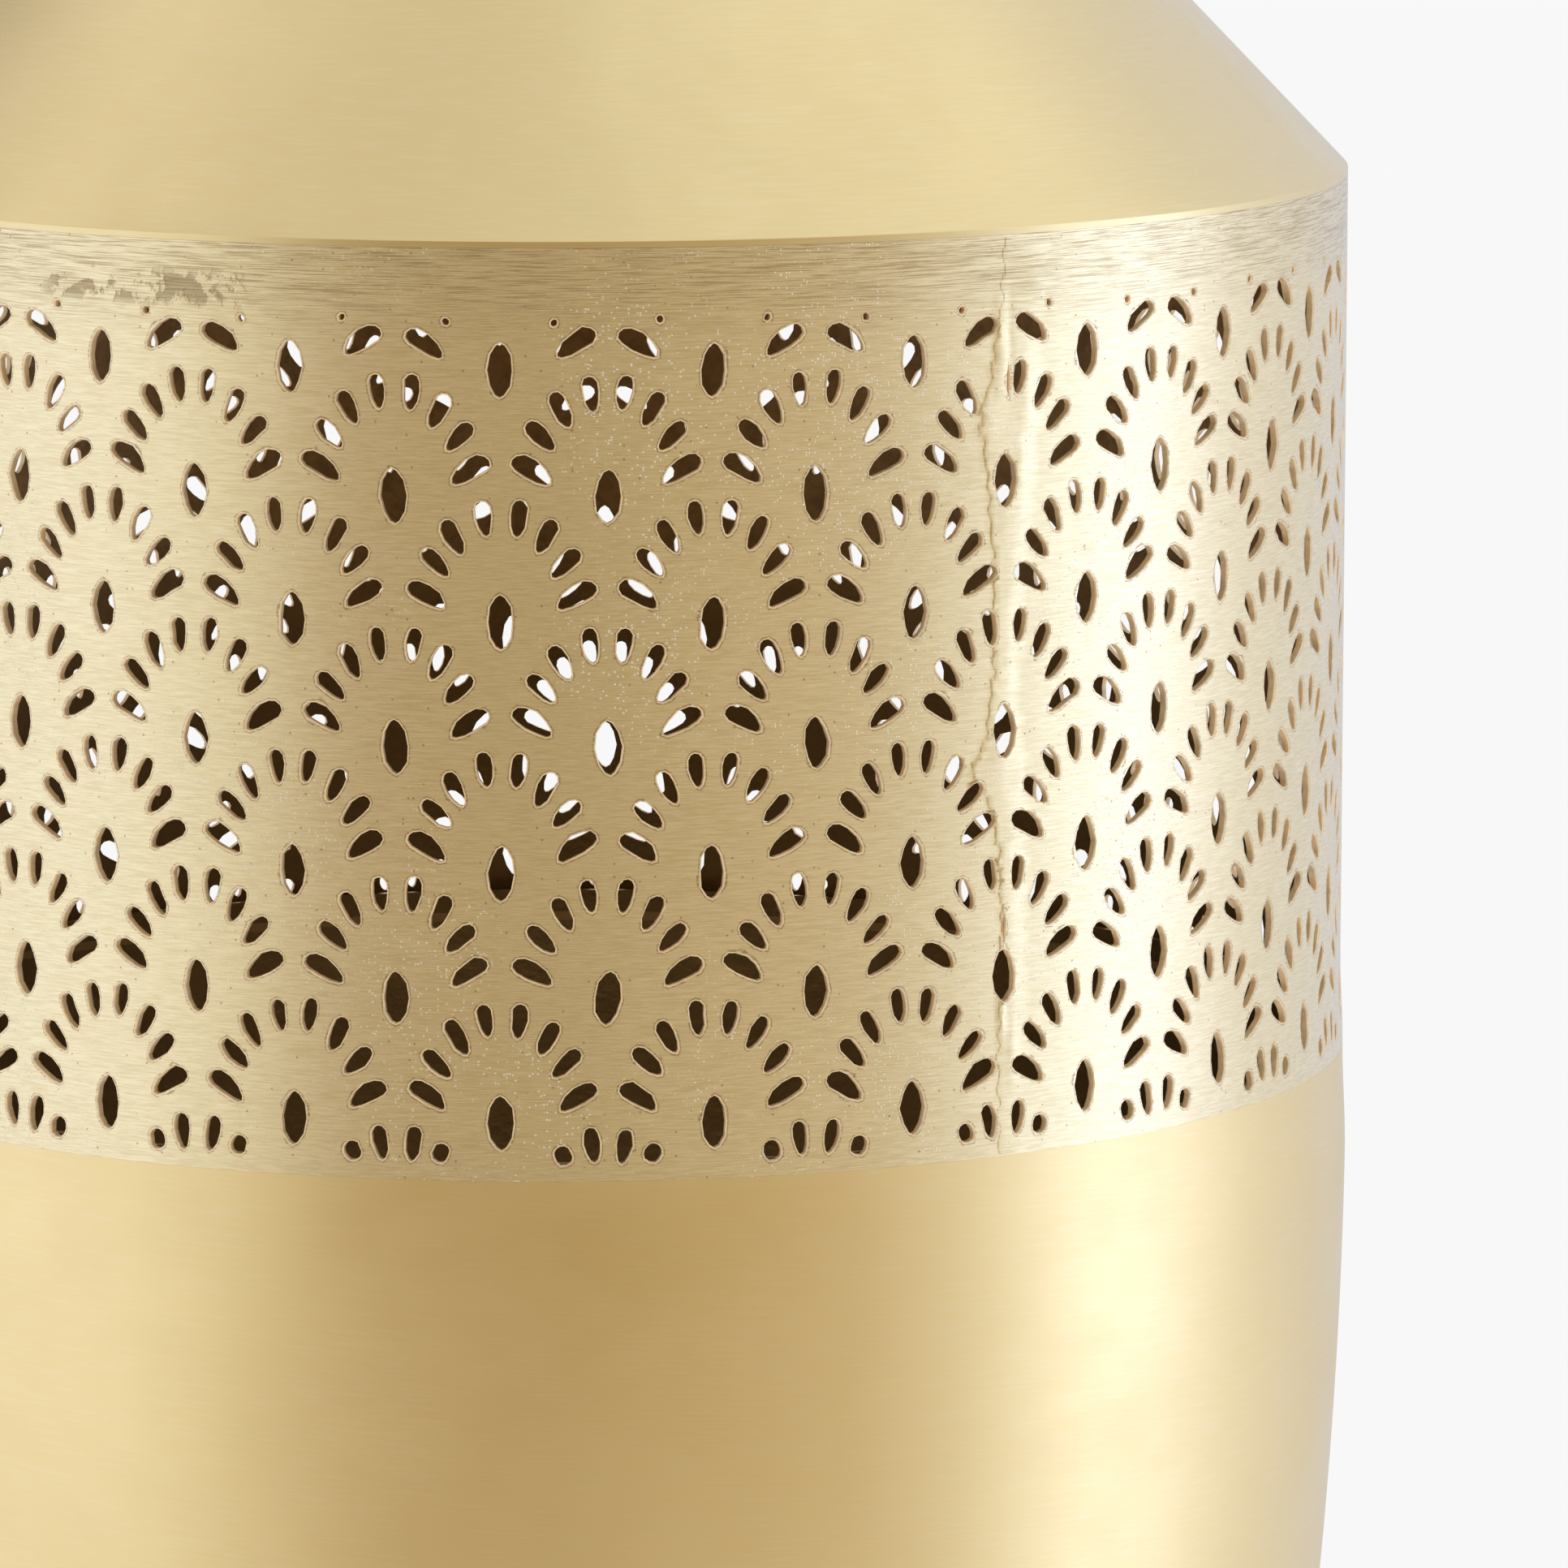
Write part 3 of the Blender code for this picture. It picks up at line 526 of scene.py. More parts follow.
# The brazed seam
braze = {
    "reach": 9.5,               # the braze lies within this of the seam's line
    "film": 0.19,
    "limits": (-0.1, 0.25),
    "step": 0.17,
    "fall": 3.6,
    # height, left edge and right edge in mm from the seam's line
    "edges": ((-186.0, -0.5, 8.0), (-194.0, -0.8, 7.0), (-196.5, -1.4, 6.0),
              (-203.0, -2.4, 6.6), (-208.0, -4.1, 6.4), (-211.1, -3.9, 5.8), (-215.8, -3.0, 5.4),
              (-221.8, -2.6, 5.0), (-225.8, -2.05, 4.6), (-229.8, -1.9, 4.2), (-233.7, -1.9, 3.6),
              (-239.0, -2.05, 3.4), (-242.4, -1.9, 3.0), (-245.8, -2.4, 2.6), (-250.4, -3.0, 3.4),
              (-255.0, -5.2, 3.8), (-256.7, -4.9, 3.9), (-258.2, -3.2, 4.0), (-262.0, -1.6, 4.2),
              (-267.0, -0.9, 4.1), (-275.0, -0.5, 4.0), (-288.0, -0.8, 4.4), (-306.6, -1.0, 4.6)),
    # across, height, half-widths, rise
    "lumps": ((-0.9, -199.5, 0.8, 6.0, 0.10), (0.3, -197.5, 0.7, 6.0, -0.05), (-2.6, -209.0, 1.2, 2.2, 0.06),
              (3.4, -207.0, 1.4, 3.0, 0.05), (-0.8, -252.5, 1.8, 2.6, 0.07), (0.9, -256.0, 0.9, 3.4, -0.05),
              (-0.4, -288.0, 0.5, 3.0, 0.10), (1.4, -292.0, 1.0, 4.0, 0.07), (0.0, -222.0, 1.4, 3.0, 0.05),
              (2.4, -216.0, 1.0, 5.0, 0.05), (0.9, -243.0, 0.5, 3.4, 0.05)),
    "blob": (6.0, -190.6, 0.10, 2.6),   # right edge, height, rise and half-height of a proud blob
}
ripple = [(dice.uniform(0.5, 2.6), dice.uniform(0, 2 * pi), dice.uniform(0.05, 0.16)) for _ in range(7)]


def eased(value):
    value = min(max(value, 0.0), 1.0)
    return value * value * (3 - 2 * value)


def brazeEdges(height):
    rows = braze["edges"]
    for (upper, leftA, rightA), (lower, leftB, rightB) in zip(rows, rows[1:]):
        if lower <= height <= upper:
            share = (upper - height) / (upper - lower)
            break
    else:
        nearest = rows[0] if height > rows[0][0] else rows[-1]
        share, leftA, rightA, leftB, rightB = 0.0, *nearest[1:], *nearest[1:]
    wave = sum(size * sin(rate * height + phase) for rate, phase, size in ripple)
    return leftA + (leftB - leftA) * share + wave, rightA + (rightB - rightA) * share - wave * 1.4


def brazeRelief(across, height):
    if abs(across) > braze["reach"]:
        return 0.0
    left, right = brazeEdges(height)
    thinLow = eased((height + 301.0) / 30.0) * 0.7 + 0.3
    thinHigh = 1 - 0.75 * eased((height + 201.0) / 5.0)
    rise = braze["film"] * thinLow * thinHigh
    rise *= eased((across - left) / braze["step"]) * eased((right - across) / braze["fall"])
    edge, level, lift, tall = braze["blob"]
    upright = eased((tall - abs(height - level)) / 0.5)
    rise += lift * upright * eased((across - 1.0) / 4.0) * eased((edge - across) / 0.25)
    for at, level, wide, tall, lift in braze["lumps"]:
        rise += lift * exp(-((across - at) / wide) ** 2 - ((height - level) / tall) ** 2)
    return min(max(rise, braze["limits"][0]), braze["limits"][1])


def bent(across, height, depth):
    # A point of the flat sheet on the turned band, in metres; depth is below the outer face.
    turn = radians(pierced["columnTurn"] + columnStep * pierced["cutColumn"]) + across / bandRadius
    lift = brazeRelief(across - seamAt, height) if depth < pierced["wall"] / 2 else 0.0
    lift += pierced["flare"] * eased((bandFoot + pierced["flareHeight"] - height) / pierced["flareHeight"])
    radius = (bandRadius - depth + lift) * mm
    return Vector((radius * sin(turn), -radius * cos(turn), height * mm))


def bandNormal(point, outward):
    # Face direction of the turned band at a point, with the braze's slopes on the outer side.
    turn = atan2(point.x, -point.y)
    radial = Vector((sin(turn), -cos(turn), 0.0))
    if not outward:
        return -radial
    start = radians(pierced["columnTurn"] + columnStep * pierced["seamColumn"])
    across = ((turn - start + pi) % (2 * pi) - pi) * bandRadius
    height = point.z / mm
    if abs(across) > braze["reach"]:
        return radial
    reach = 0.08
    slopeAcross = (brazeRelief(across + reach, height) - brazeRelief(across - reach, height)) / (2 * reach)
    slopeUp = (brazeRelief(across, height + reach) - brazeRelief(across, height - reach)) / (2 * reach)
    leaning = radial - slopeAcross * Vector((cos(turn), sin(turn), 0.0)) - slopeUp * Vector((0, 0, 1))
    return leaning.normalized()


def sheetPoints(holes, rimmed, frayed, onCut):
    # Inner points of the flat sheet: a plain grid, closer rows along the seam, and a ring round each hole.
    tile = pierced["tile"]
    grid = [(tile * (i + 0.5), bandFoot + 4.0 + tile * j)
            for i in range(int(sheetLength / tile)) for j in range(int((bandTop - bandFoot - 6) / tile))]
    seam = []
    level = bandFoot + 0.4
    while level < bandTop - 0.4:
        edge = brazeEdges(level)[0]
        seam += [(seamAt + edge + nudge, level) for nudge in (-0.06, braze["step"] / 2, braze["step"] + 0.05)]
        seam += [(seamAt + across + dice.uniform(-0.1, 0.1), level) for across in
                 [-8 + pierced["seamTile"] * i for i in range(18)] if abs(across - edge) > 0.45]
        level += pierced["seamRow"]
    ring = [point for i, outline in enumerate(frayed) if i not in onCut for point in outline]
    ring = [(x, y) for x, y in ring if bandFoot + 0.2 < y < bandTop - 0.2]
    outer = clearOf(grid, frayed, 0.5) + clearOf(seam, rimmed, 0.25) + clearOf(ring, rimmed, 0.12)
    return outer, clearOf(grid, holes, 0.8)


def addSkins(bm, rimLayer, holes, rimmed, onCut, cutAlmonds):
    outer, inner = sheetPoints(holes, rimmed, [offset(hole, pierced["frayWidth"]) for hole in holes], onCut)
    free = [hole for i, hole in enumerate(rimmed) if i not in onCut]
    spots, triangles = fillSheet(free, [rimmed[i] for i in onCut], outer)
    edgeSpots = {(round(x, 4), round(y, 4)) for outline in rimmed for x, y in outline}
    corners = []
    for x, y in spots:
        corner = bm.verts.new(bent(x, y, 0.0))
        places = {(round(x, 4), round(y, 4)), (round(x - sheetLength, 4), round(y, 4))}
        corner[rimLayer] = 1.0 if places & edgeSpots else 0.0
        corners.append(corner)
    for triangle in triangles:
        bm.faces.new([corners[i] for i in triangle]).material_index = 0
    free = [hole for i, hole in enumerate(holes) if i not in onCut]
    spots, triangles = fillSheet(free, cutAlmonds, inner)
    corners = [bm.verts.new(bent(x, y, pierced["wall"])) for x, y in spots]
    for triangle in triangles:
        bm.faces.new([corners[i] for i in reversed(triangle)]).material_index = 2


def addHoleWalls(bm, rimLayer, holes, rimmed):
    # Each wall is drawn out both ways from a loop at the foot of the small bevel.
    own = bm.verts.layers.int.new("own")
    partners, edges = [], []
    for hole, outline in zip(holes, rimmed):
        loop = []
        for (x, y), (wideX, wideY) in zip(hole, outline):
            corner = bm.verts.new(bent(x, y, pierced["rimWidth"]))
            corner[rimLayer] = 1.0
            corner[own] = len(partners)
            partners.append((bent(wideX, wideY, 0.0), bent(x, y, pierced["wall"])))
            loop.append(corner)
        edges += [bm.edges.new(pair) for pair in zip(loop, loop[1:] + loop[:1])]
    for side in (0, 1):
        for item in bmesh.ops.extrude_edge_only(bm, edges=edges)["geom"]:
            if isinstance(item, bmesh.types.BMVert):
                item.co = partners[item[own]][side]
            elif isinstance(item, bmesh.types.BMFace):
                item.material_index = 1


def closeEdge(bm, level):
    loops = [e for e in bm.edges if e.is_boundary and all(abs(v.co.z - level * mm) < 1e-6 for v in e.verts)]
    for face in bmesh.ops.bridge_loops(bm, edges=loops)["faces"]:
        face.material_index = 1


def roundNormals(mesh):
    # Both skins are shaded as true cylinders, with the braze's slopes; walls and edges keep their own.
    outward = [bandNormal(v.co, True) for v in mesh.vertices]
    inward = [bandNormal(v.co, False) for v in mesh.vertices]
    wanted = [Vector((0, 0, 0))] * len(mesh.loops)
    for polygon in mesh.polygons:
        if polygon.material_index != 1:
            chosen = outward if polygon.material_index == 0 else inward
            for loop in polygon.loop_indices:
                wanted[loop] = chosen[mesh.loops[loop].vertex_index]
    mesh.normals_split_custom_set(wanted)


def makePiercedBand():
    holes, cutAlmonds = allHoles()
    rimmed = [offset(hole, pierced["rimWidth"]) for hole in holes]
    onCut = [i for i, hole in enumerate(holes) if any(hole is almond for almond in cutAlmonds)]
    bm = bmesh.new()
    rimLayer = bm.verts.layers.float.new("rim")
    addSkins(bm, rimLayer, holes, rimmed, onCut, cutAlmonds)
    addHoleWalls(bm, rimLayer, holes, rimmed)
    bmesh.ops.remove_doubles(bm, verts=bm.verts[:], dist=0.000002)
    closeEdge(bm, bandTop)
    closeEdge(bm, bandFoot)
    bmesh.ops.recalc_face_normals(bm, faces=bm.faces[:])
    print("pierced band: faces", len(bm.faces), "open edges", sum(1 for e in bm.edges if not e.is_manifold))
    made = finishedPiece(bm, "piercedBand", [bandBrass, sawnBrass, insideBrassWithShade], "lantern", ["pierced_band"],
                         40)
    roundNormals(made.data)


# Turned sheet pieces
def spunRound(bm, chain, steps, closed=False, axis=(0, 0, 1), centre=(0, 0, 0)):
    # A chain of points, in metres, taken one full turn round the axis.
    corners = [bm.verts.new(point) for point in chain]
    edges = [bm.edges.new(pair) for pair in zip(corners, corners[1:] + (corners[:1] if closed else []))]
    bmesh.ops.spin(bm, geom=corners + edges, cent=centre, axis=axis, dvec=(0, 0, 0), angle=2 * pi,
                   steps=steps, use_merge=True, use_duplicate=False)
    bmesh.ops.remove_doubles(bm, verts=bm.verts[:], dist=0.000001)


def wireLoop(bm, wire, centre, major, axis, segments, steps):
    # Round wire of the given radius bent into a ring; major runs from the ring's centre to the wire's.
    circle = bmesh.ops.create_circle(bm, segments=segments, radius=wire)["verts"]
    bmesh.ops.translate(bm, verts=circle, vec=Vector(centre) + Vector(major))
    edges = [edge for edge in bm.edges if all(vertex in circle for vertex in edge.verts)]
    bmesh.ops.spin(bm, geom=circle + edges, cent=centre, axis=axis, dvec=(0, 0, 0), angle=2 * pi,
                   steps=steps, use_merge=True, use_duplicate=False)
    bmesh.ops.remove_doubles(bm, verts=bm.verts[:], dist=0.000001)


def turnedPiece(name, outline, material, body, nodes, steps=128, sharp=35):
    # Outline of (radius, height) in mm, down the outside and up the inside, spun round Z.
    bm = bmesh.new()
    spunRound(bm, [(radius * mm, 0.0, height * mm) for radius, height in outline], steps,
              closed=outline[0][0] > 0.001)
    bmesh.ops.recalc_face_normals(bm, faces=bm.faces[:])
    return finishedPiece(bm, name, material, body, nodes, sharp)


def finishedPiece(bm, name, material, body, nodes, sharp=35):
    mesh = bpy.data.meshes.new(name)
    bm.to_mesh(mesh)
    bm.free()
    for each in material if isinstance(material, list) else [material]:
        mesh.materials.append(each)
    made = bpy.data.objects.new(name, mesh)
    bpy.context.scene.collection.objects.link(made)
    mesh.shade_smooth()
    mesh.set_sharp_from_angle(angle=radians(sharp))
    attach(made, body)
    if nodes:
        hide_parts(*nodes)
    return made


makePiercedBand()
print("pierced band made")


def curvePoints(centreR, centreZ, radius, start, end, count):
    turns = [radians(start + (end - start) * i / count) for i in range(count + 1)]
    return [(centreR + radius * cos(a), centreZ + radius * sin(a)) for a in turns]


shade = {
    "wall": 1.0,
    "coneSlope": 46.0,
    "cornerRounding": 0.3,
    "lap": 2.0,
    "barrelArc": 803.0,
    "barrelStraight": 6.4,
    "blend": 16.0,
}


def makeCone():
    low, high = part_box("shoulder_cone")
    slope = tan(radians(shade["coneSlope"]))
    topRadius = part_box("neck_collar")[1].x / mm - shade["wall"] - 0.3
    lipTop = high.z / mm
    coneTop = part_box("neck_collar")[0].z / mm - 0.3
    edgeRadius = bandRadius
    corner = coneTop - (edgeRadius - topRadius) * slope
    round = shade["cornerRounding"]
    rounding = curvePoints(edgeRadius - round, corner - 0.15, round, 44, 0, 5)
    count = 24
    flare = [(topRadius + (edgeRadius - round - topRadius) * i / count,
              coneTop - (edgeRadius - round - topRadius) * i / count * slope) for i in range(1, count)]
    lapRadius = bandRadius - shade["wall"] - 0.6
    throat = [(topRadius, lipTop), (topRadius, coneTop + 1.0), (topRadius + 0.4, coneTop - 0.2)]
    outer = throat + flare + rounding
    lap = [(edgeRadius, bandTop + 0.02), (lapRadius, bandTop + 0.02), (lapRadius, low.z / mm),
           (lapRadius - 1.0, low.z / mm)]
    run = shade["wall"] / sin(radians(shade["coneSlope"]))
    inner = [(lapRadius - 1.0, corner + (edgeRadius - lapRadius + 1.0 - run) * slope),
             (topRadius - 1.0, coneTop - (run - 1.0) * slope), (topRadius - 1.0, lipTop)]
    return turnedPiece("shoulderCone", outer + lap + inner, [coneBrass, insideBrassWithShade], "lantern",
                       ["shoulder_cone"], steps=160)


def barrelRadius(height, widest, bend):
    drop = max(bend - height, 0.0)
    return widest - shade["barrelArc"] + sqrt(shade["barrelArc"] ** 2 - drop ** 2)


def makeBarrel():
    low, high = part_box("barrel")
    widest = high.x / mm
    top, foot = bandFoot - 0.3, low.z / mm
    bend = top - shade["barrelStraight"]
    lapRadius = bandRadius - shade["wall"] - 0.6
    levels = [top - shade["blend"] * i / 6 for i in range(7)]
    levels += [levels[-1] - (levels[-1] - foot) * i / 30 for i in range(1, 31)]
    joint = bandRadius + pierced["flare"]
    outer = [(joint, bandFoot - 0.01)]
    for level in levels:
        lift = eased((top - level) / shade["blend"])
        outer.append((joint + (barrelRadius(level, widest, bend) - joint) * lift, level))
    inner = [(radius - 1.0, level) for radius, level in reversed(outer[2:])]
    edge = outer[-1][0]
    lip = [(edge - 0.15, foot), (edge - 0.85, foot)]
    outer[-1] = (edge, foot + 0.2)
    lapTop = bandFoot + shade["lap"]
    upper = [(lapRadius - 1.0, lapTop), (lapRadius, lapTop), (lapRadius, bandFoot - 0.01)]
    outline = upper + outer + lip + inner + [(lapRadius - 1.0, top - 1.0)]
    return turnedPiece("barrel", outline[1:] + outline[:1], [barrelBrass, insideBrassWithShade], "lantern", ["barrel"],
                       steps=160)


def paintInside(made, limit):
    # Gives the second material to faces that look towards the axis.
    for polygon in made.data.polygons:
        centre, normal = polygon.center, polygon.normal
        if centre.x * normal.x + centre.y * normal.y < -0.2 * hypot(centre.x, centre.y) or normal.z < limit:
            polygon.material_index = 1


paintInside(makeCone(), -0.3)
paintInside(makeBarrel(), -2.0)
print("cone and barrel made")


# Plain finishes
def makePlain(name, colour, roughness, metallic, toneSize, toneShare, sockets):
    made, tree, shader = newMaterial(name, colour, roughness, metallic, **sockets)
    tone = useGroup(tree, toneClouds, Size=toneSize, Low=0.3, High=0.75)
    darker = tuple(channel * toneShare for channel in colour)
    setInput(tree, shader, Base_Color=mixed(tree, tone, colour, darker),
             Roughness=ranged(tree, tone, 0.0, 1.0, roughness * 0.85, roughness * 1.2),
             Normal=bump(tree, tone, 0.00001))
    return made


plainFinishes = {
    # colour, roughness, metallic, size and lowest share of the toning, other sockets
    "castBrass": ((0.83, 0.64, 0.34), 0.28, 1.0, 160.0, 0.82, {}),
    "contactBrass": ((0.86, 0.70, 0.42), 0.24, 1.0, 300.0, 0.9, {}),
    "platedSteel": ((0.66, 0.66, 0.63), 0.3, 1.0, 300.0, 0.85, {}),
    "tungstenWire": ((0.30, 0.29, 0.28), 0.45, 1.0, 900.0, 0.8, {}),
    "blackPhenolic": ((0.022, 0.020, 0.019), 0.32, 0.0, 200.0, 0.7, {}),
    "glazedCeramic": ((0.83, 0.81, 0.76), 0.22, 0.0, 120.0, 0.94, {"Coat Weight": 0.4}),
    "blackSealGlass": ((0.015, 0.015, 0.022), 0.1, 0.0, 300.0, 0.8, {}),
}
plain = {name: makePlain(name, *values) for name, values in plainFinishes.items()}
castBrass, contactBrass, phenolic = plain["castBrass"], plain["contactBrass"], plain["blackPhenolic"]
clearGlass, _, glassShader = newMaterial("clearGlass", (0.97, 0.985, 0.98), 0.0, 0.0)
glassShader.inputs["Transmission Weight"].default_value = 1.0
glassShader.inputs["IOR"].default_value = 1.47
neckBrass = makeSatinBrass("neckSatinBrass", brass["cone"], 0.0)
finishes = {"cast_brass": castBrass, "contact_brass": contactBrass, "plated_steel": plain["platedSteel"],
            "tungsten": plain["tungstenWire"], "black_phenolic": phenolic,
            "white_ceramic": plain["glazedCeramic"], "black_glass": plain["blackSealGlass"],
            "clear_glass": clearGlass, "satin_brass": neckBrass,
            "bulb_metal": contactBrass, "brushed_brass": bandBrass}
for entry in frame["record"]["subparts"]:
    slots = frame["nodes"][entry["node"]].data.materials
    slots.clear()
    slots.append(finishes[entry["material_slot"]])


# Neck, cap and hanging parts
def rounded(points, radius, steps=4):
    # A closed outline with every corner cut by an arc of at most the given radius.
    made = []
    count = len(points)
    for i in range(count):
        before, here, after = Vector(points[i - 1]), Vector(points[i]), Vector(points[(i + 1) % count])
        into, out = (here - before), (after - here)
        reach = min(radius, into.length * 0.45, out.length * 0.45)
        start, end = here - into.normalized() * reach, here + out.normalized() * reach
        for step in range(steps + 1):
            t = step / steps
            made.append(tuple(start * (1 - t) ** 2 + here * 2 * t * (1 - t) + end * t * t))
    return made


def extents(node):
    # Outer radius, top and foot of a turned CAD node, in mm.
    low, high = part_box(node)
    return high.x / mm, high.z / mm, low.z / mm


neck = {
    "wall": 1.0,
    "capFlat": 18.0,            # radius of the cap's flat top
    "capSkirt": 7.4,            # dome's foot below the cap's top
    "domeRise": 7.4,
    "hem": 0.35,
    "bead": ((0.0, 2.2), (0.35, 1.6), (0.5, 0.9)),  # collar's rolled foot: out and up
}


def makeNeckCap():
    radius, top, foot = extents("neck_cap")
    hole = extents("threaded_tube")[0] + 0.15
    wall, flat, rise = neck["wall"], neck["capFlat"], neck["domeRise"]
    run, shoulder = radius - flat, top - neck["capSkirt"]

    def arc(width, height, degrees):
        return [(flat + width * cos(radians(a)), shoulder + height * sin(radians(a))) for a in degrees]

    dome = arc(run, rise, [90 - 90 * i / 14 for i in range(15)])
    hem = [(radius, foot + 0.5), (radius - neck["hem"], foot), (radius - wall, foot),
           (radius - wall, shoulder)]
    inside = arc(run - wall, rise - wall, [90 * i / 8 for i in range(1, 9)])
    outline = [(hole, top), (flat - 4.0, top)] + dome + hem + inside + [(hole, top - wall)]
    return turnedPiece("neckCap", outline, neckBrass, "lantern", ["neck_cap"], steps=96)


def makeNeckCollar():
    radius, top, foot = extents("neck_collar")
    seat, inner = foot - 0.02, radius - neck["wall"]
    outline = [(radius, top)] + [(radius + out, foot + up) for out, up in neck["bead"]]
    outline += [(radius + 0.1, seat), (inner, seat), (inner, top)]
    return turnedPiece("neckCollar", outline, neckBrass, "lantern", ["neck_collar"], steps=96)


neckScrew = {"count": 3, "firstTurn": 30, "headRadius": 2.85, "headHeight": 1.8, "rounding": 0.35,
             "slotWidth": 0.8, "slotDepth": 0.8, "shankRadius": 1.45, "shankLength": 5.0, "shankDrop": 2.3}


def makeNeckScrew(name, node, centre, outward):
    # Slotted cheese head with a rounded rim.
    head, half = neckScrew["headRadius"] * mm, neckScrew["headHeight"] / 2 * mm
    bm = bmesh.new()
    bmesh.ops.create_cone(bm, cap_ends=True, segments=28, radius1=head, radius2=head, depth=2 * half)
    rim = [e for e in bm.edges if all(v.co.z > 0 for v in e.verts)]
    bmesh.ops.bevel(bm, geom=rim, offset=neckScrew["rounding"] * mm, segments=3, profile=0.5, affect="EDGES",
                    material=-1)
    slot = neckScrew["slotWidth"] / 2 * mm
    for side in (-slot, slot):
        bmesh.ops.bisect_plane(bm, geom=bm.verts[:] + bm.edges[:] + bm.faces[:], plane_co=(side, 0, 0),
                               plane_no=(1, 0, 0))
    groove = [f for f in bm.faces if f.normal.z > 0.3 and abs(f.calc_center_median().x) < slot]
    grown = bmesh.ops.extrude_face_region(bm, geom=groove)["geom"]
    bmesh.ops.delete(bm, geom=groove, context="FACES")
    for item in grown:
        if isinstance(item, bmesh.types.BMVert):
            item.co.z = half - neckScrew["slotDepth"] * mm
    shank = neckScrew["shankRadius"] * mm
    bmesh.ops.create_cone(bm, cap_ends=True, segments=20, radius1=shank, radius2=shank,
                          depth=neckScrew["shankLength"] * mm,
                          matrix=Matrix.Translation((0, 0, -half - neckScrew["shankDrop"] * mm)))
    turn = outward.to_track_quat("Z", "Y").to_matrix().to_4x4()
    bmesh.ops.transform(bm, matrix=Matrix.Translation(centre) @ turn, verts=bm.verts[:])
    bmesh.ops.recalc_face_normals(bm, faces=bm.faces[:])
    return finishedPiece(bm, name, castBrass, "lantern", [node], 30)


def makeNeckScrews():
    for number in range(neckScrew["count"]):
        node = f"neck_screw_{number + 1}"
        low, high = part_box(node)
        turn = radians(neckScrew["firstTurn"] + 360 / neckScrew["count"] * number)
        outward = Vector((cos(turn), sin(turn), 0.0))
        reach = max(vertex.co.dot(outward) for vertex in frame["nodes"][node].data.vertices)
        centre = outward * (reach - neckScrew["headHeight"] / 2 * mm)
        centre.z = (low.z + high.z) / 2
        makeNeckScrew(f"neckScrew{number + 1}", node, centre, outward)


def makeHangingRing():
    low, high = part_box("hanging_ring")
    wire = (high.y - low.y) / 2
    bm = bmesh.new()
    wireLoop(bm, wire - 0.001 * mm, (0, 0, (low.z + high.z) / 2), ((high.x - low.x) / 2 - wire, 0, 0),
             (0, 1, 0), segments=24, steps=96)
    bmesh.ops.recalc_face_normals(bm, faces=bm.faces[:])
    return finishedPiece(bm, "hangingRing", castBrass, "ring", ["hanging_ring"], 40)


eye = {"major": 9.0, "bossHeight": 17.0, "port": 4.6, "portRise": 8.4, "flangeThick": 1.4, "bushWall": 1.2}


def makeHangingEye():
    # Upright eye on a hollow boss, with a cord port through the boss's back.
    ringLow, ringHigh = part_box("hanging_ring")
    low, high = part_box("hanging_eye")
    wire, foot = (ringHigh.y - ringLow.y) / mm / 2, low.z / mm
    centre = high.z / mm - wire - eye["major"]
    bossTop = foot + eye["bossHeight"]
    bore = extents("threaded_tube")[0] + 0.15
    rows = 14       # rows of faces fine enough for the port to be cut from
    crown = [(0.0, bossTop + 1.2), (3.6, bossTop + 1.2), (4.6, bossTop + 0.9), (5.8, bossTop - 0.4),
             (6.5, bossTop - 1.8)]
    waist = [(7.0 + 2.0 * i / rows, bossTop - 4.0 - (eye["bossHeight"] - 8.0) * i / rows)
             for i in range(rows + 1)]
    base = [(9.7, foot + 2.9), (11.0, foot + 1.5), (11.0, foot)]
    inner = [(bore, foot + (eye["bossHeight"] - 5.0) * i / rows) for i in range(rows + 1)]
    outline = crown + waist + base + inner + [(0.0, bossTop - 4.0)]
    bm = bmesh.new()
    spunRound(bm, [(radius * mm, 0.0, height * mm) for radius, height in outline], 80)
    cut = []
    for face in bm.faces:
        x, y, z = face.calc_center_median() / mm
        inPort = hypot(x, z - foot - eye["portRise"]) < eye["port"]
        if y > 0 and inPort and hypot(x, y) > bore - 0.5:
            cut.append(face)
    bmesh.ops.delete(bm, geom=cut, context="FACES")
    bmesh.ops.bridge_loops(bm, edges=[e for e in bm.edges if e.is_boundary])
    wireLoop(bm, (wire - 0.001) * mm, (0, 0, centre * mm), (0, eye["major"] * mm, 0), (1, 0, 0),
             segments=20, steps=64)
    bmesh.ops.recalc_face_normals(bm, faces=bm.faces[:])
    return finishedPiece(bm, "hangingEye", castBrass, "lantern", ["hanging_eye"], 38)


def makeCordBush():
    low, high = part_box("cord_bush")
    centre = (low.z + high.z) / 2
    flange, front, back = (high.x - low.x) / 2 / mm, high.y / mm, low.y / mm
    sleeve, rear = flange - 1.4, front - eye["flangeThick"]
    bore = sleeve - eye["bushWall"]
    outline = rounded([(flange, front), (flange, rear), (sleeve, rear), (sleeve, back), (bore, back),
                       (bore, front)], 0.35)
    bm = bmesh.new()
    spunRound(bm, [(radius * mm, reach * mm, centre) for radius, reach in outline], 48, closed=True,
              axis=(0, 1, 0), centre=(0, 0, centre))
    bmesh.ops.recalc_face_normals(bm, faces=bm.faces[:])
    return finishedPiece(bm, "cordBush", phenolic, "lantern", ["cord_bush"], 40)


def makeCapWasher():
    radius, top, foot = extents("cap_washer")
    bore = extents("threaded_tube")[0] + 0.2
    outline = rounded([(bore, top), (radius, top), (radius, foot), (bore, foot)], 0.35)
    return turnedPiece("capWasher", outline, castBrass, "lantern", ["cap_washer"], steps=64)


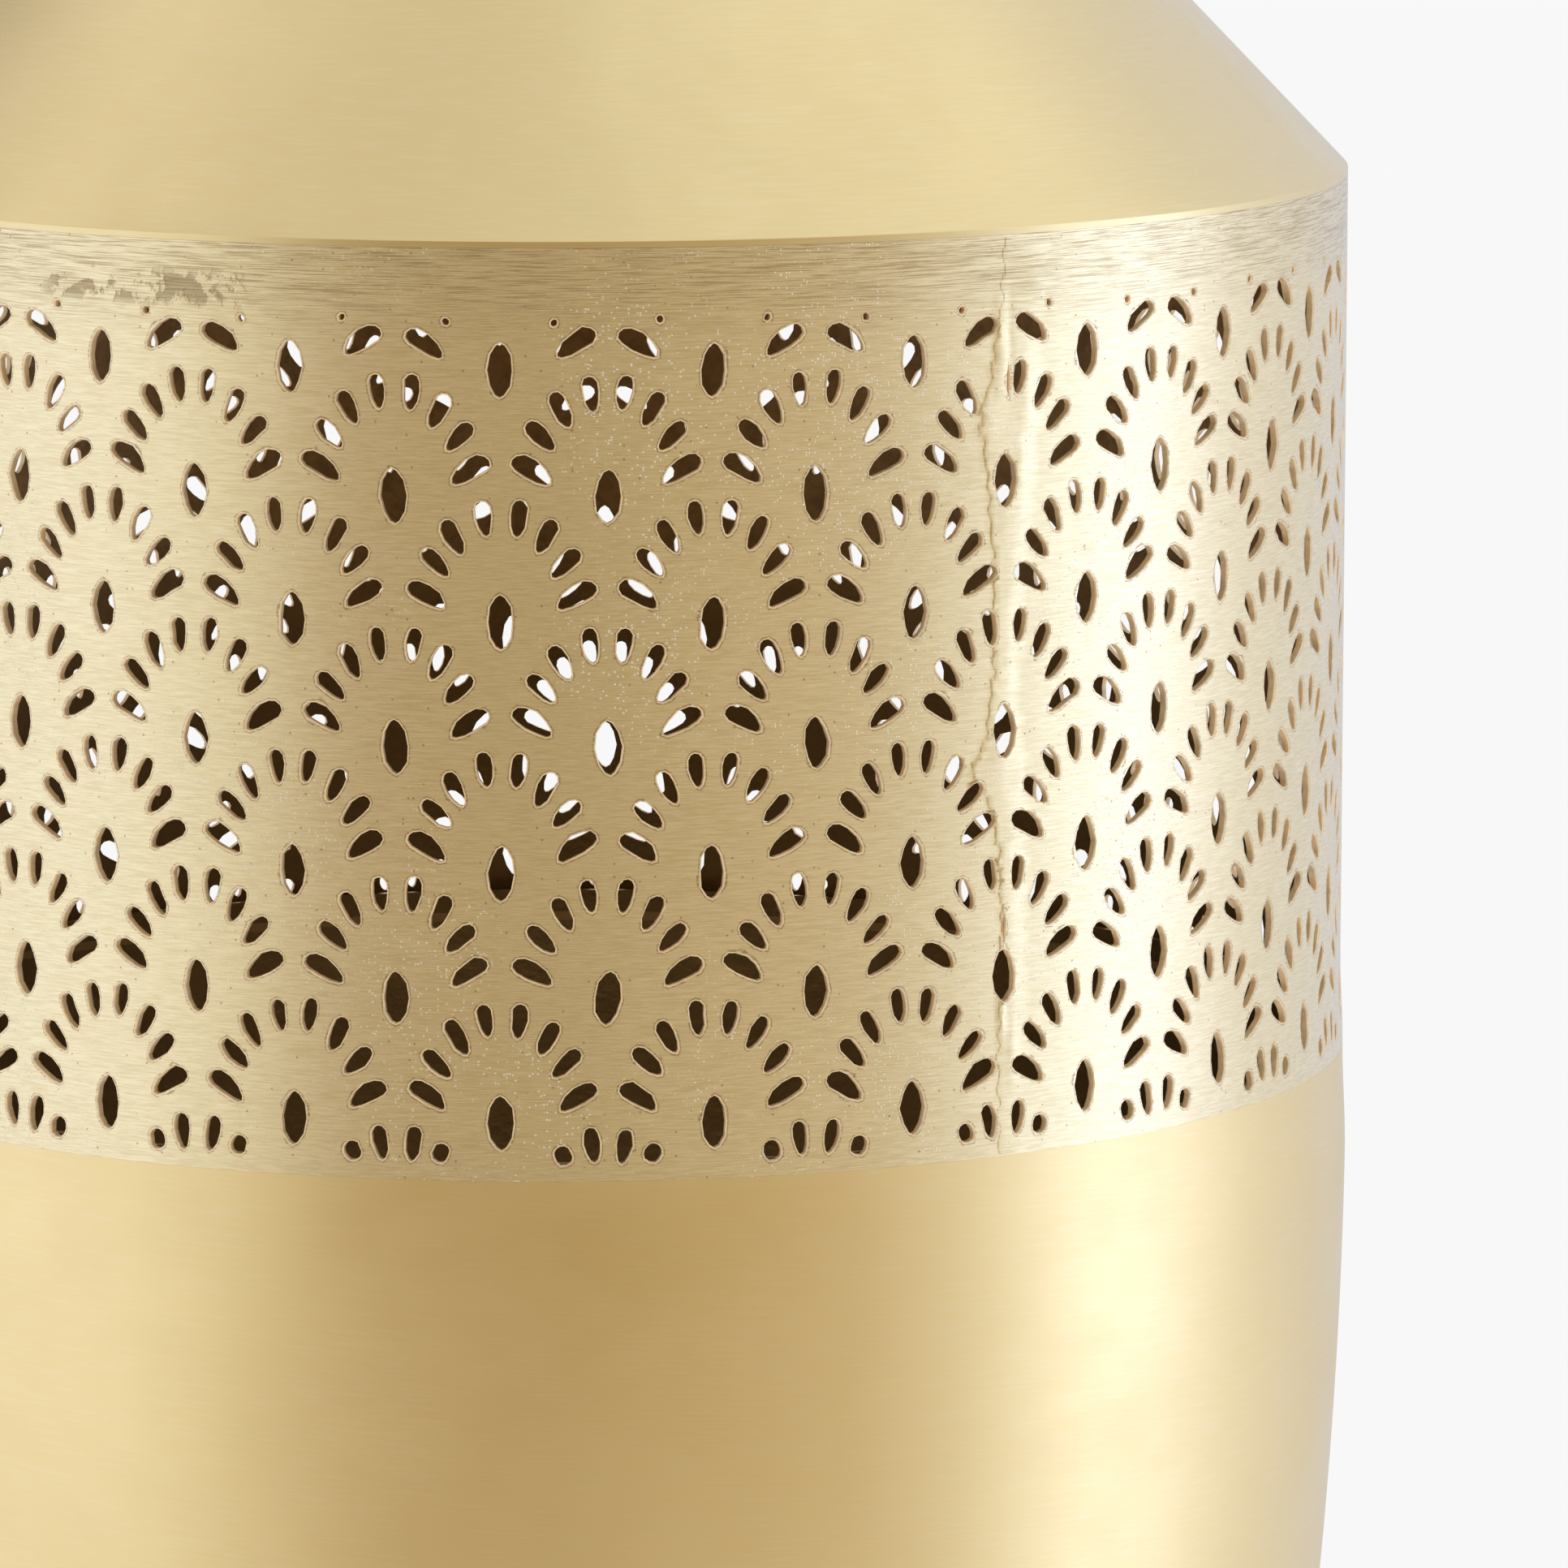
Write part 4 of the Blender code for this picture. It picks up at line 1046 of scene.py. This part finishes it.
def makeMouthHoop():
    radius, top, foot = extents("mouth_hoop")
    inner = radius - 2.2
    outline = rounded([(radius - 0.25, top), (radius, foot), (inner, foot), (inner, top)], 0.5)
    return turnedPiece("mouthHoop", outline, neckBrass, "lantern", ["mouth_hoop"], steps=160)


makeNeckCap()
makeNeckCollar()
makeNeckScrews()
makeHangingRing()
makeHangingEye()
makeCordBush()
makeCapWasher()
makeMouthHoop()
print("neck and hanging parts made")


# Lamp holder and bulb
holder = {"wall": 2.0, "lip": 15.0, "grips": 5, "gripPitch": 5.0, "dome": 9.0, "hub": 8.0}


def makeHolderShell():
    radius, top, foot = extents("holder_shell")
    wall, lip = holder["wall"], holder["lip"]
    grip = []
    for i in range(holder["grips"]):
        level = top - 4.0 - holder["gripPitch"] * i
        grip += [(radius, level), (radius - 0.5, level - 0.6), (radius - 0.5, level - 1.4),
                 (radius, level - 2.0)]
    outline = [(radius - 0.3, top), (radius, top - 0.3)] + grip
    outline += [(radius, foot + 1.4), (radius - 0.4, foot + 0.4), (radius - 1.4, foot), (lip + 0.4, foot),
                (lip, foot + 0.4), (lip, foot + wall), (radius - wall, foot + wall), (radius - wall, top)]
    return turnedPiece("holderShell", outline, phenolic, "lantern", ["holder_shell"],
                       steps=72)


def makeHolderCap():
    radius, top, foot = extents("holder_cap")
    wall, hole = holder["wall"], extents("threaded_tube")[0] + 0.15
    bend, hub = holder["dome"], holder["hub"]
    dome = curvePoints(radius - bend, top - 4.0 - bend, bend, 90, 0, 12)
    inner = curvePoints(radius - bend, top - 4.0 - bend, bend - wall, 0, 90, 8)
    outline = [(hole, top), (hub - 0.4, top), (hub, top - 0.4), (hub, top - 3.6), (hub + 0.4, top - 4.0)]
    outline += dome
    outline += [(radius, foot), (radius - wall, foot)] + inner + [(hole, top - 4.0 - wall)]
    return turnedPiece("holderCap", outline, phenolic, "lantern", ["holder_cap"], steps=72)


bulbShape = {"pitch": 3.62, "crest": 0.42, "capWall": 0.25, "glassWall": 0.9, "globeTop": 52}


def makeBulbCap():
    # Rolled screw thread, wound downwards, between a plain collar above and a skirt below.
    radius, top, foot = extents("bulb_cap")
    pitch, crest = bulbShape["pitch"], bulbShape["crest"]
    collarFoot, skirtTop = top - 0.8, foot + 3.2
    turns = (collarFoot - skirtTop) / pitch - 1.0
    bm = bmesh.new()
    wave = [(radius - crest + crest * cos(2 * pi * i / 10), collarFoot - pitch * i / 10) for i in range(11)]
    corners = [bm.verts.new((r * mm, 0.0, h * mm)) for r, h in wave]
    edges = [bm.edges.new(pair) for pair in zip(corners, corners[1:])]
    steps = int(40 * turns)
    bmesh.ops.spin(bm, geom=corners + edges, cent=(0, 0, 0), axis=(0, 0, 1), angle=-2 * pi * turns,
                   steps=steps, dvec=(0, 0, -pitch * turns / steps * mm), use_merge=False,
                   use_duplicate=False)
    bmesh.ops.remove_doubles(bm, verts=bm.verts[:], dist=0.00002)
    collar = [(radius - 2.2, top - 0.01), (radius - 1.4, top), (radius - 0.9, top - 0.5),
              (radius - 0.8, collarFoot - 0.6)]
    skirt = [(radius - 0.75, skirtTop + pitch * 0.9), (radius - 0.45, skirtTop - 0.2),
             (radius - 0.3, foot + 0.4), (radius - 0.6, foot), (radius - 1.2, foot),
             (radius - 1.2, skirtTop + 1.0)]
    for strip in (collar, skirt):
        spunRound(bm, [(r * mm, 0.0, h * mm) for r, h in strip], 40)
    bmesh.ops.recalc_face_normals(bm, faces=bm.faces[:])
    made = finishedPiece(bm, "bulbCap", contactBrass, "bulb", ["bulb_cap"], 50)
    thickness = made.modifiers.new("wall", "SOLIDIFY")
    thickness.thickness = bulbShape["capWall"] * mm
    thickness.offset = -1.0
    return made


def makeBulbGlass():
    radius, top, foot = extents("bulb_glass")
    wall = bulbShape["glassWall"]
    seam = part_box("bulb_cap")[0].z / mm
    neckRadius = extents("bulb_cap")[0] - 1.5
    centre = foot + radius
    globe = curvePoints(0.0, centre, radius, bulbShape["globeTop"], -90, 30)
    joinR, joinZ = globe[0]
    throat = [(neckRadius + (joinR - neckRadius) * eased(t) ** 1.3, seam - 0.6 + (joinZ - seam + 0.6) * t)
              for t in [i / 8 for i in range(8)]]
    outer = [(neckRadius, top)] + throat + globe
    inner = [(r - wall, h) for r, h in reversed(throat)]
    inside = curvePoints(0.0, centre, radius - wall, -90, bulbShape["globeTop"], 30)
    chain = inside + inner + [(neckRadius - wall, top)] + outer
    bm = bmesh.new()
    spunRound(bm, [(max(r, 0.0) * mm, 0.0, h * mm) for r, h in chain], 64)
    bmesh.ops.recalc_face_normals(bm, faces=bm.faces[:])
    return finishedPiece(bm, "bulbGlass", clearGlass, "bulb", ["bulb_glass"], 40)


makeHolderShell()
makeHolderCap()
makeBulbCap()
makeBulbGlass()
print("lamp holder and bulb made")


# Studio
studio = {
    "floorHeight": -0.95,
    "floorSize": 60.0,
    "floorColour": (0.80, 0.79, 0.785),
    "floorGlow": 0.297,
    "backdrop": 0.939,
    # direction round the lantern (0 towards the camera, + right) and light from there
    "level": (
        (-180, 0.72, 0.72, 0.74), (-165, 0.50, 0.45, 0.38), (-142, 0.48, 0.43, 0.36),
        (-120, 0.80, 0.80, 0.80), (-100, 1.03, 1.07, 1.14), (-84, 1.06, 1.12, 1.24),
        (-66, 1.06, 1.11, 1.20), (-52, 0.93, 0.94, 0.92), (-41, 0.74, 0.70, 0.60),
        (-33, 0.49, 0.40, 0.29), (-18, 0.46, 0.37, 0.24), (2, 0.44, 0.35, 0.215),
        (16, 0.52, 0.43, 0.29), (34, 0.58, 0.49, 0.355), (48, 0.66, 0.59, 0.48),
        (60, 0.86, 0.86, 0.86), (72, 1.15, 1.25, 1.46), (86, 1.50, 1.72, 2.28),
        (98, 1.46, 1.66, 2.25), (108, 1.03, 1.10, 1.28), (122, 0.86, 0.90, 1.00),
        (140, 0.77, 0.81, 0.94), (160, 0.72, 0.75, 0.86)),
    "above": (
        (-180, 0.72, 0.72, 0.74), (-135, 0.74, 0.73, 0.72), (-112, 0.98, 0.98, 0.97),
        (-88, 0.70, 0.68, 0.64), (-30, 0.76, 0.75, 0.71), (30, 0.84, 0.85, 0.83),
        (80, 0.92, 0.94, 0.93), (112, 1.06, 1.10, 1.12), (132, 0.82, 0.83, 0.86),
        (155, 0.72, 0.73, 0.78)),
    "below": (0.80, 0.79, 0.77),
    "lift": (12, 48),           # degrees up over which the light above takes over
    "dip": (-8, -52),
}


def makeWorld():
    world = bpy.data.worlds.new("studioLight")
    bpy.context.scene.world = world
    world.use_nodes = True
    tree = world.node_tree
    tree.nodes.clear()
    direction = addNode(tree, "ShaderNodeTexCoord").outputs["Generated"]
    x, y, z = addNode(tree, "ShaderNodeSeparateXYZ", {0: direction}).outputs
    turn = calc(tree, "ARCTAN2", x, calc(tree, "MULTIPLY", y, -1.0))
    share = calc(tree, "MULTIPLY_ADD", turn, 0.5 / pi, 0.5)
    rise = calc(tree, "ARCSINE", z)

    def band(stops):
        return colourRamp(tree, share, [((angle + 180) / 360, colour) for angle, *colour in stops])

    lifted = ranged(tree, rise, *(radians(angle) for angle in studio["lift"]))
    dipped = ranged(tree, rise, *(radians(angle) for angle in studio["dip"]))
    light = mixed(tree, lifted, band(studio["level"]), band(studio["above"]))
    light = mixed(tree, dipped, light, studio["below"])
    seen = addNode(tree, "ShaderNodeLightPath").outputs["Is Camera Ray"]
    plain = (studio["backdrop"],) * 3
    lamp = addNode(tree, "ShaderNodeBackground", {"Color": mixed(tree, seen, light, plain)})
    tree.links.new(lamp.outputs[0], addNode(tree, "ShaderNodeOutputWorld").inputs[0])


def makeFloor():
    bm = bmesh.new()
    bmesh.ops.create_grid(bm, x_segments=1, y_segments=1, size=studio["floorSize"] / 2)
    bmesh.ops.translate(bm, verts=bm.verts, vec=(0, 0, studio["floorHeight"]))
    mesh = bpy.data.meshes.new("studioFloor")
    bm.to_mesh(mesh)
    bm.free()
    made, _, shader = newMaterial("paleFloor", studio["floorColour"], 0.9, metallic=0.0)
    shader.inputs["Specular IOR Level"].default_value = 0.0
    shader.inputs["Emission Color"].default_value = (1.0, 1.0, 1.0, 1.0)
    shader.inputs["Emission Strength"].default_value = studio["floorGlow"]
    mesh.materials.append(made)
    floor = bpy.data.objects.new("studioFloor", mesh)
    bpy.context.scene.collection.objects.link(floor)
    floor.visible_glossy = False


view = {
    "place": (0.0, -1.396476, -0.052361),
    "pitch": 0.155724,
    "yaw": 0.0227864,
    "roll": 0.0011188,
    "lens": 231.09,
}


def makeCamera():
    data = bpy.data.cameras.new("studioCamera")
    data.lens = view["lens"]
    data.sensor_width = 36.0
    data.clip_end = 100.0
    camera = bpy.data.objects.new("studioCamera", data)
    bpy.context.scene.collection.objects.link(camera)
    turned = (Matrix.Rotation(-view["yaw"], 4, "Z") @ Matrix.Rotation(pi / 2 - view["pitch"], 4, "X")
              @ Matrix.Rotation(view["roll"], 4, "Z"))
    camera.matrix_world = Matrix.Translation(view["place"]) @ turned
    bpy.context.scene.camera = camera


makeWorld()
makeFloor()
makeCamera()
bpy.context.scene.view_settings.view_transform = "Standard"
print("studio made")
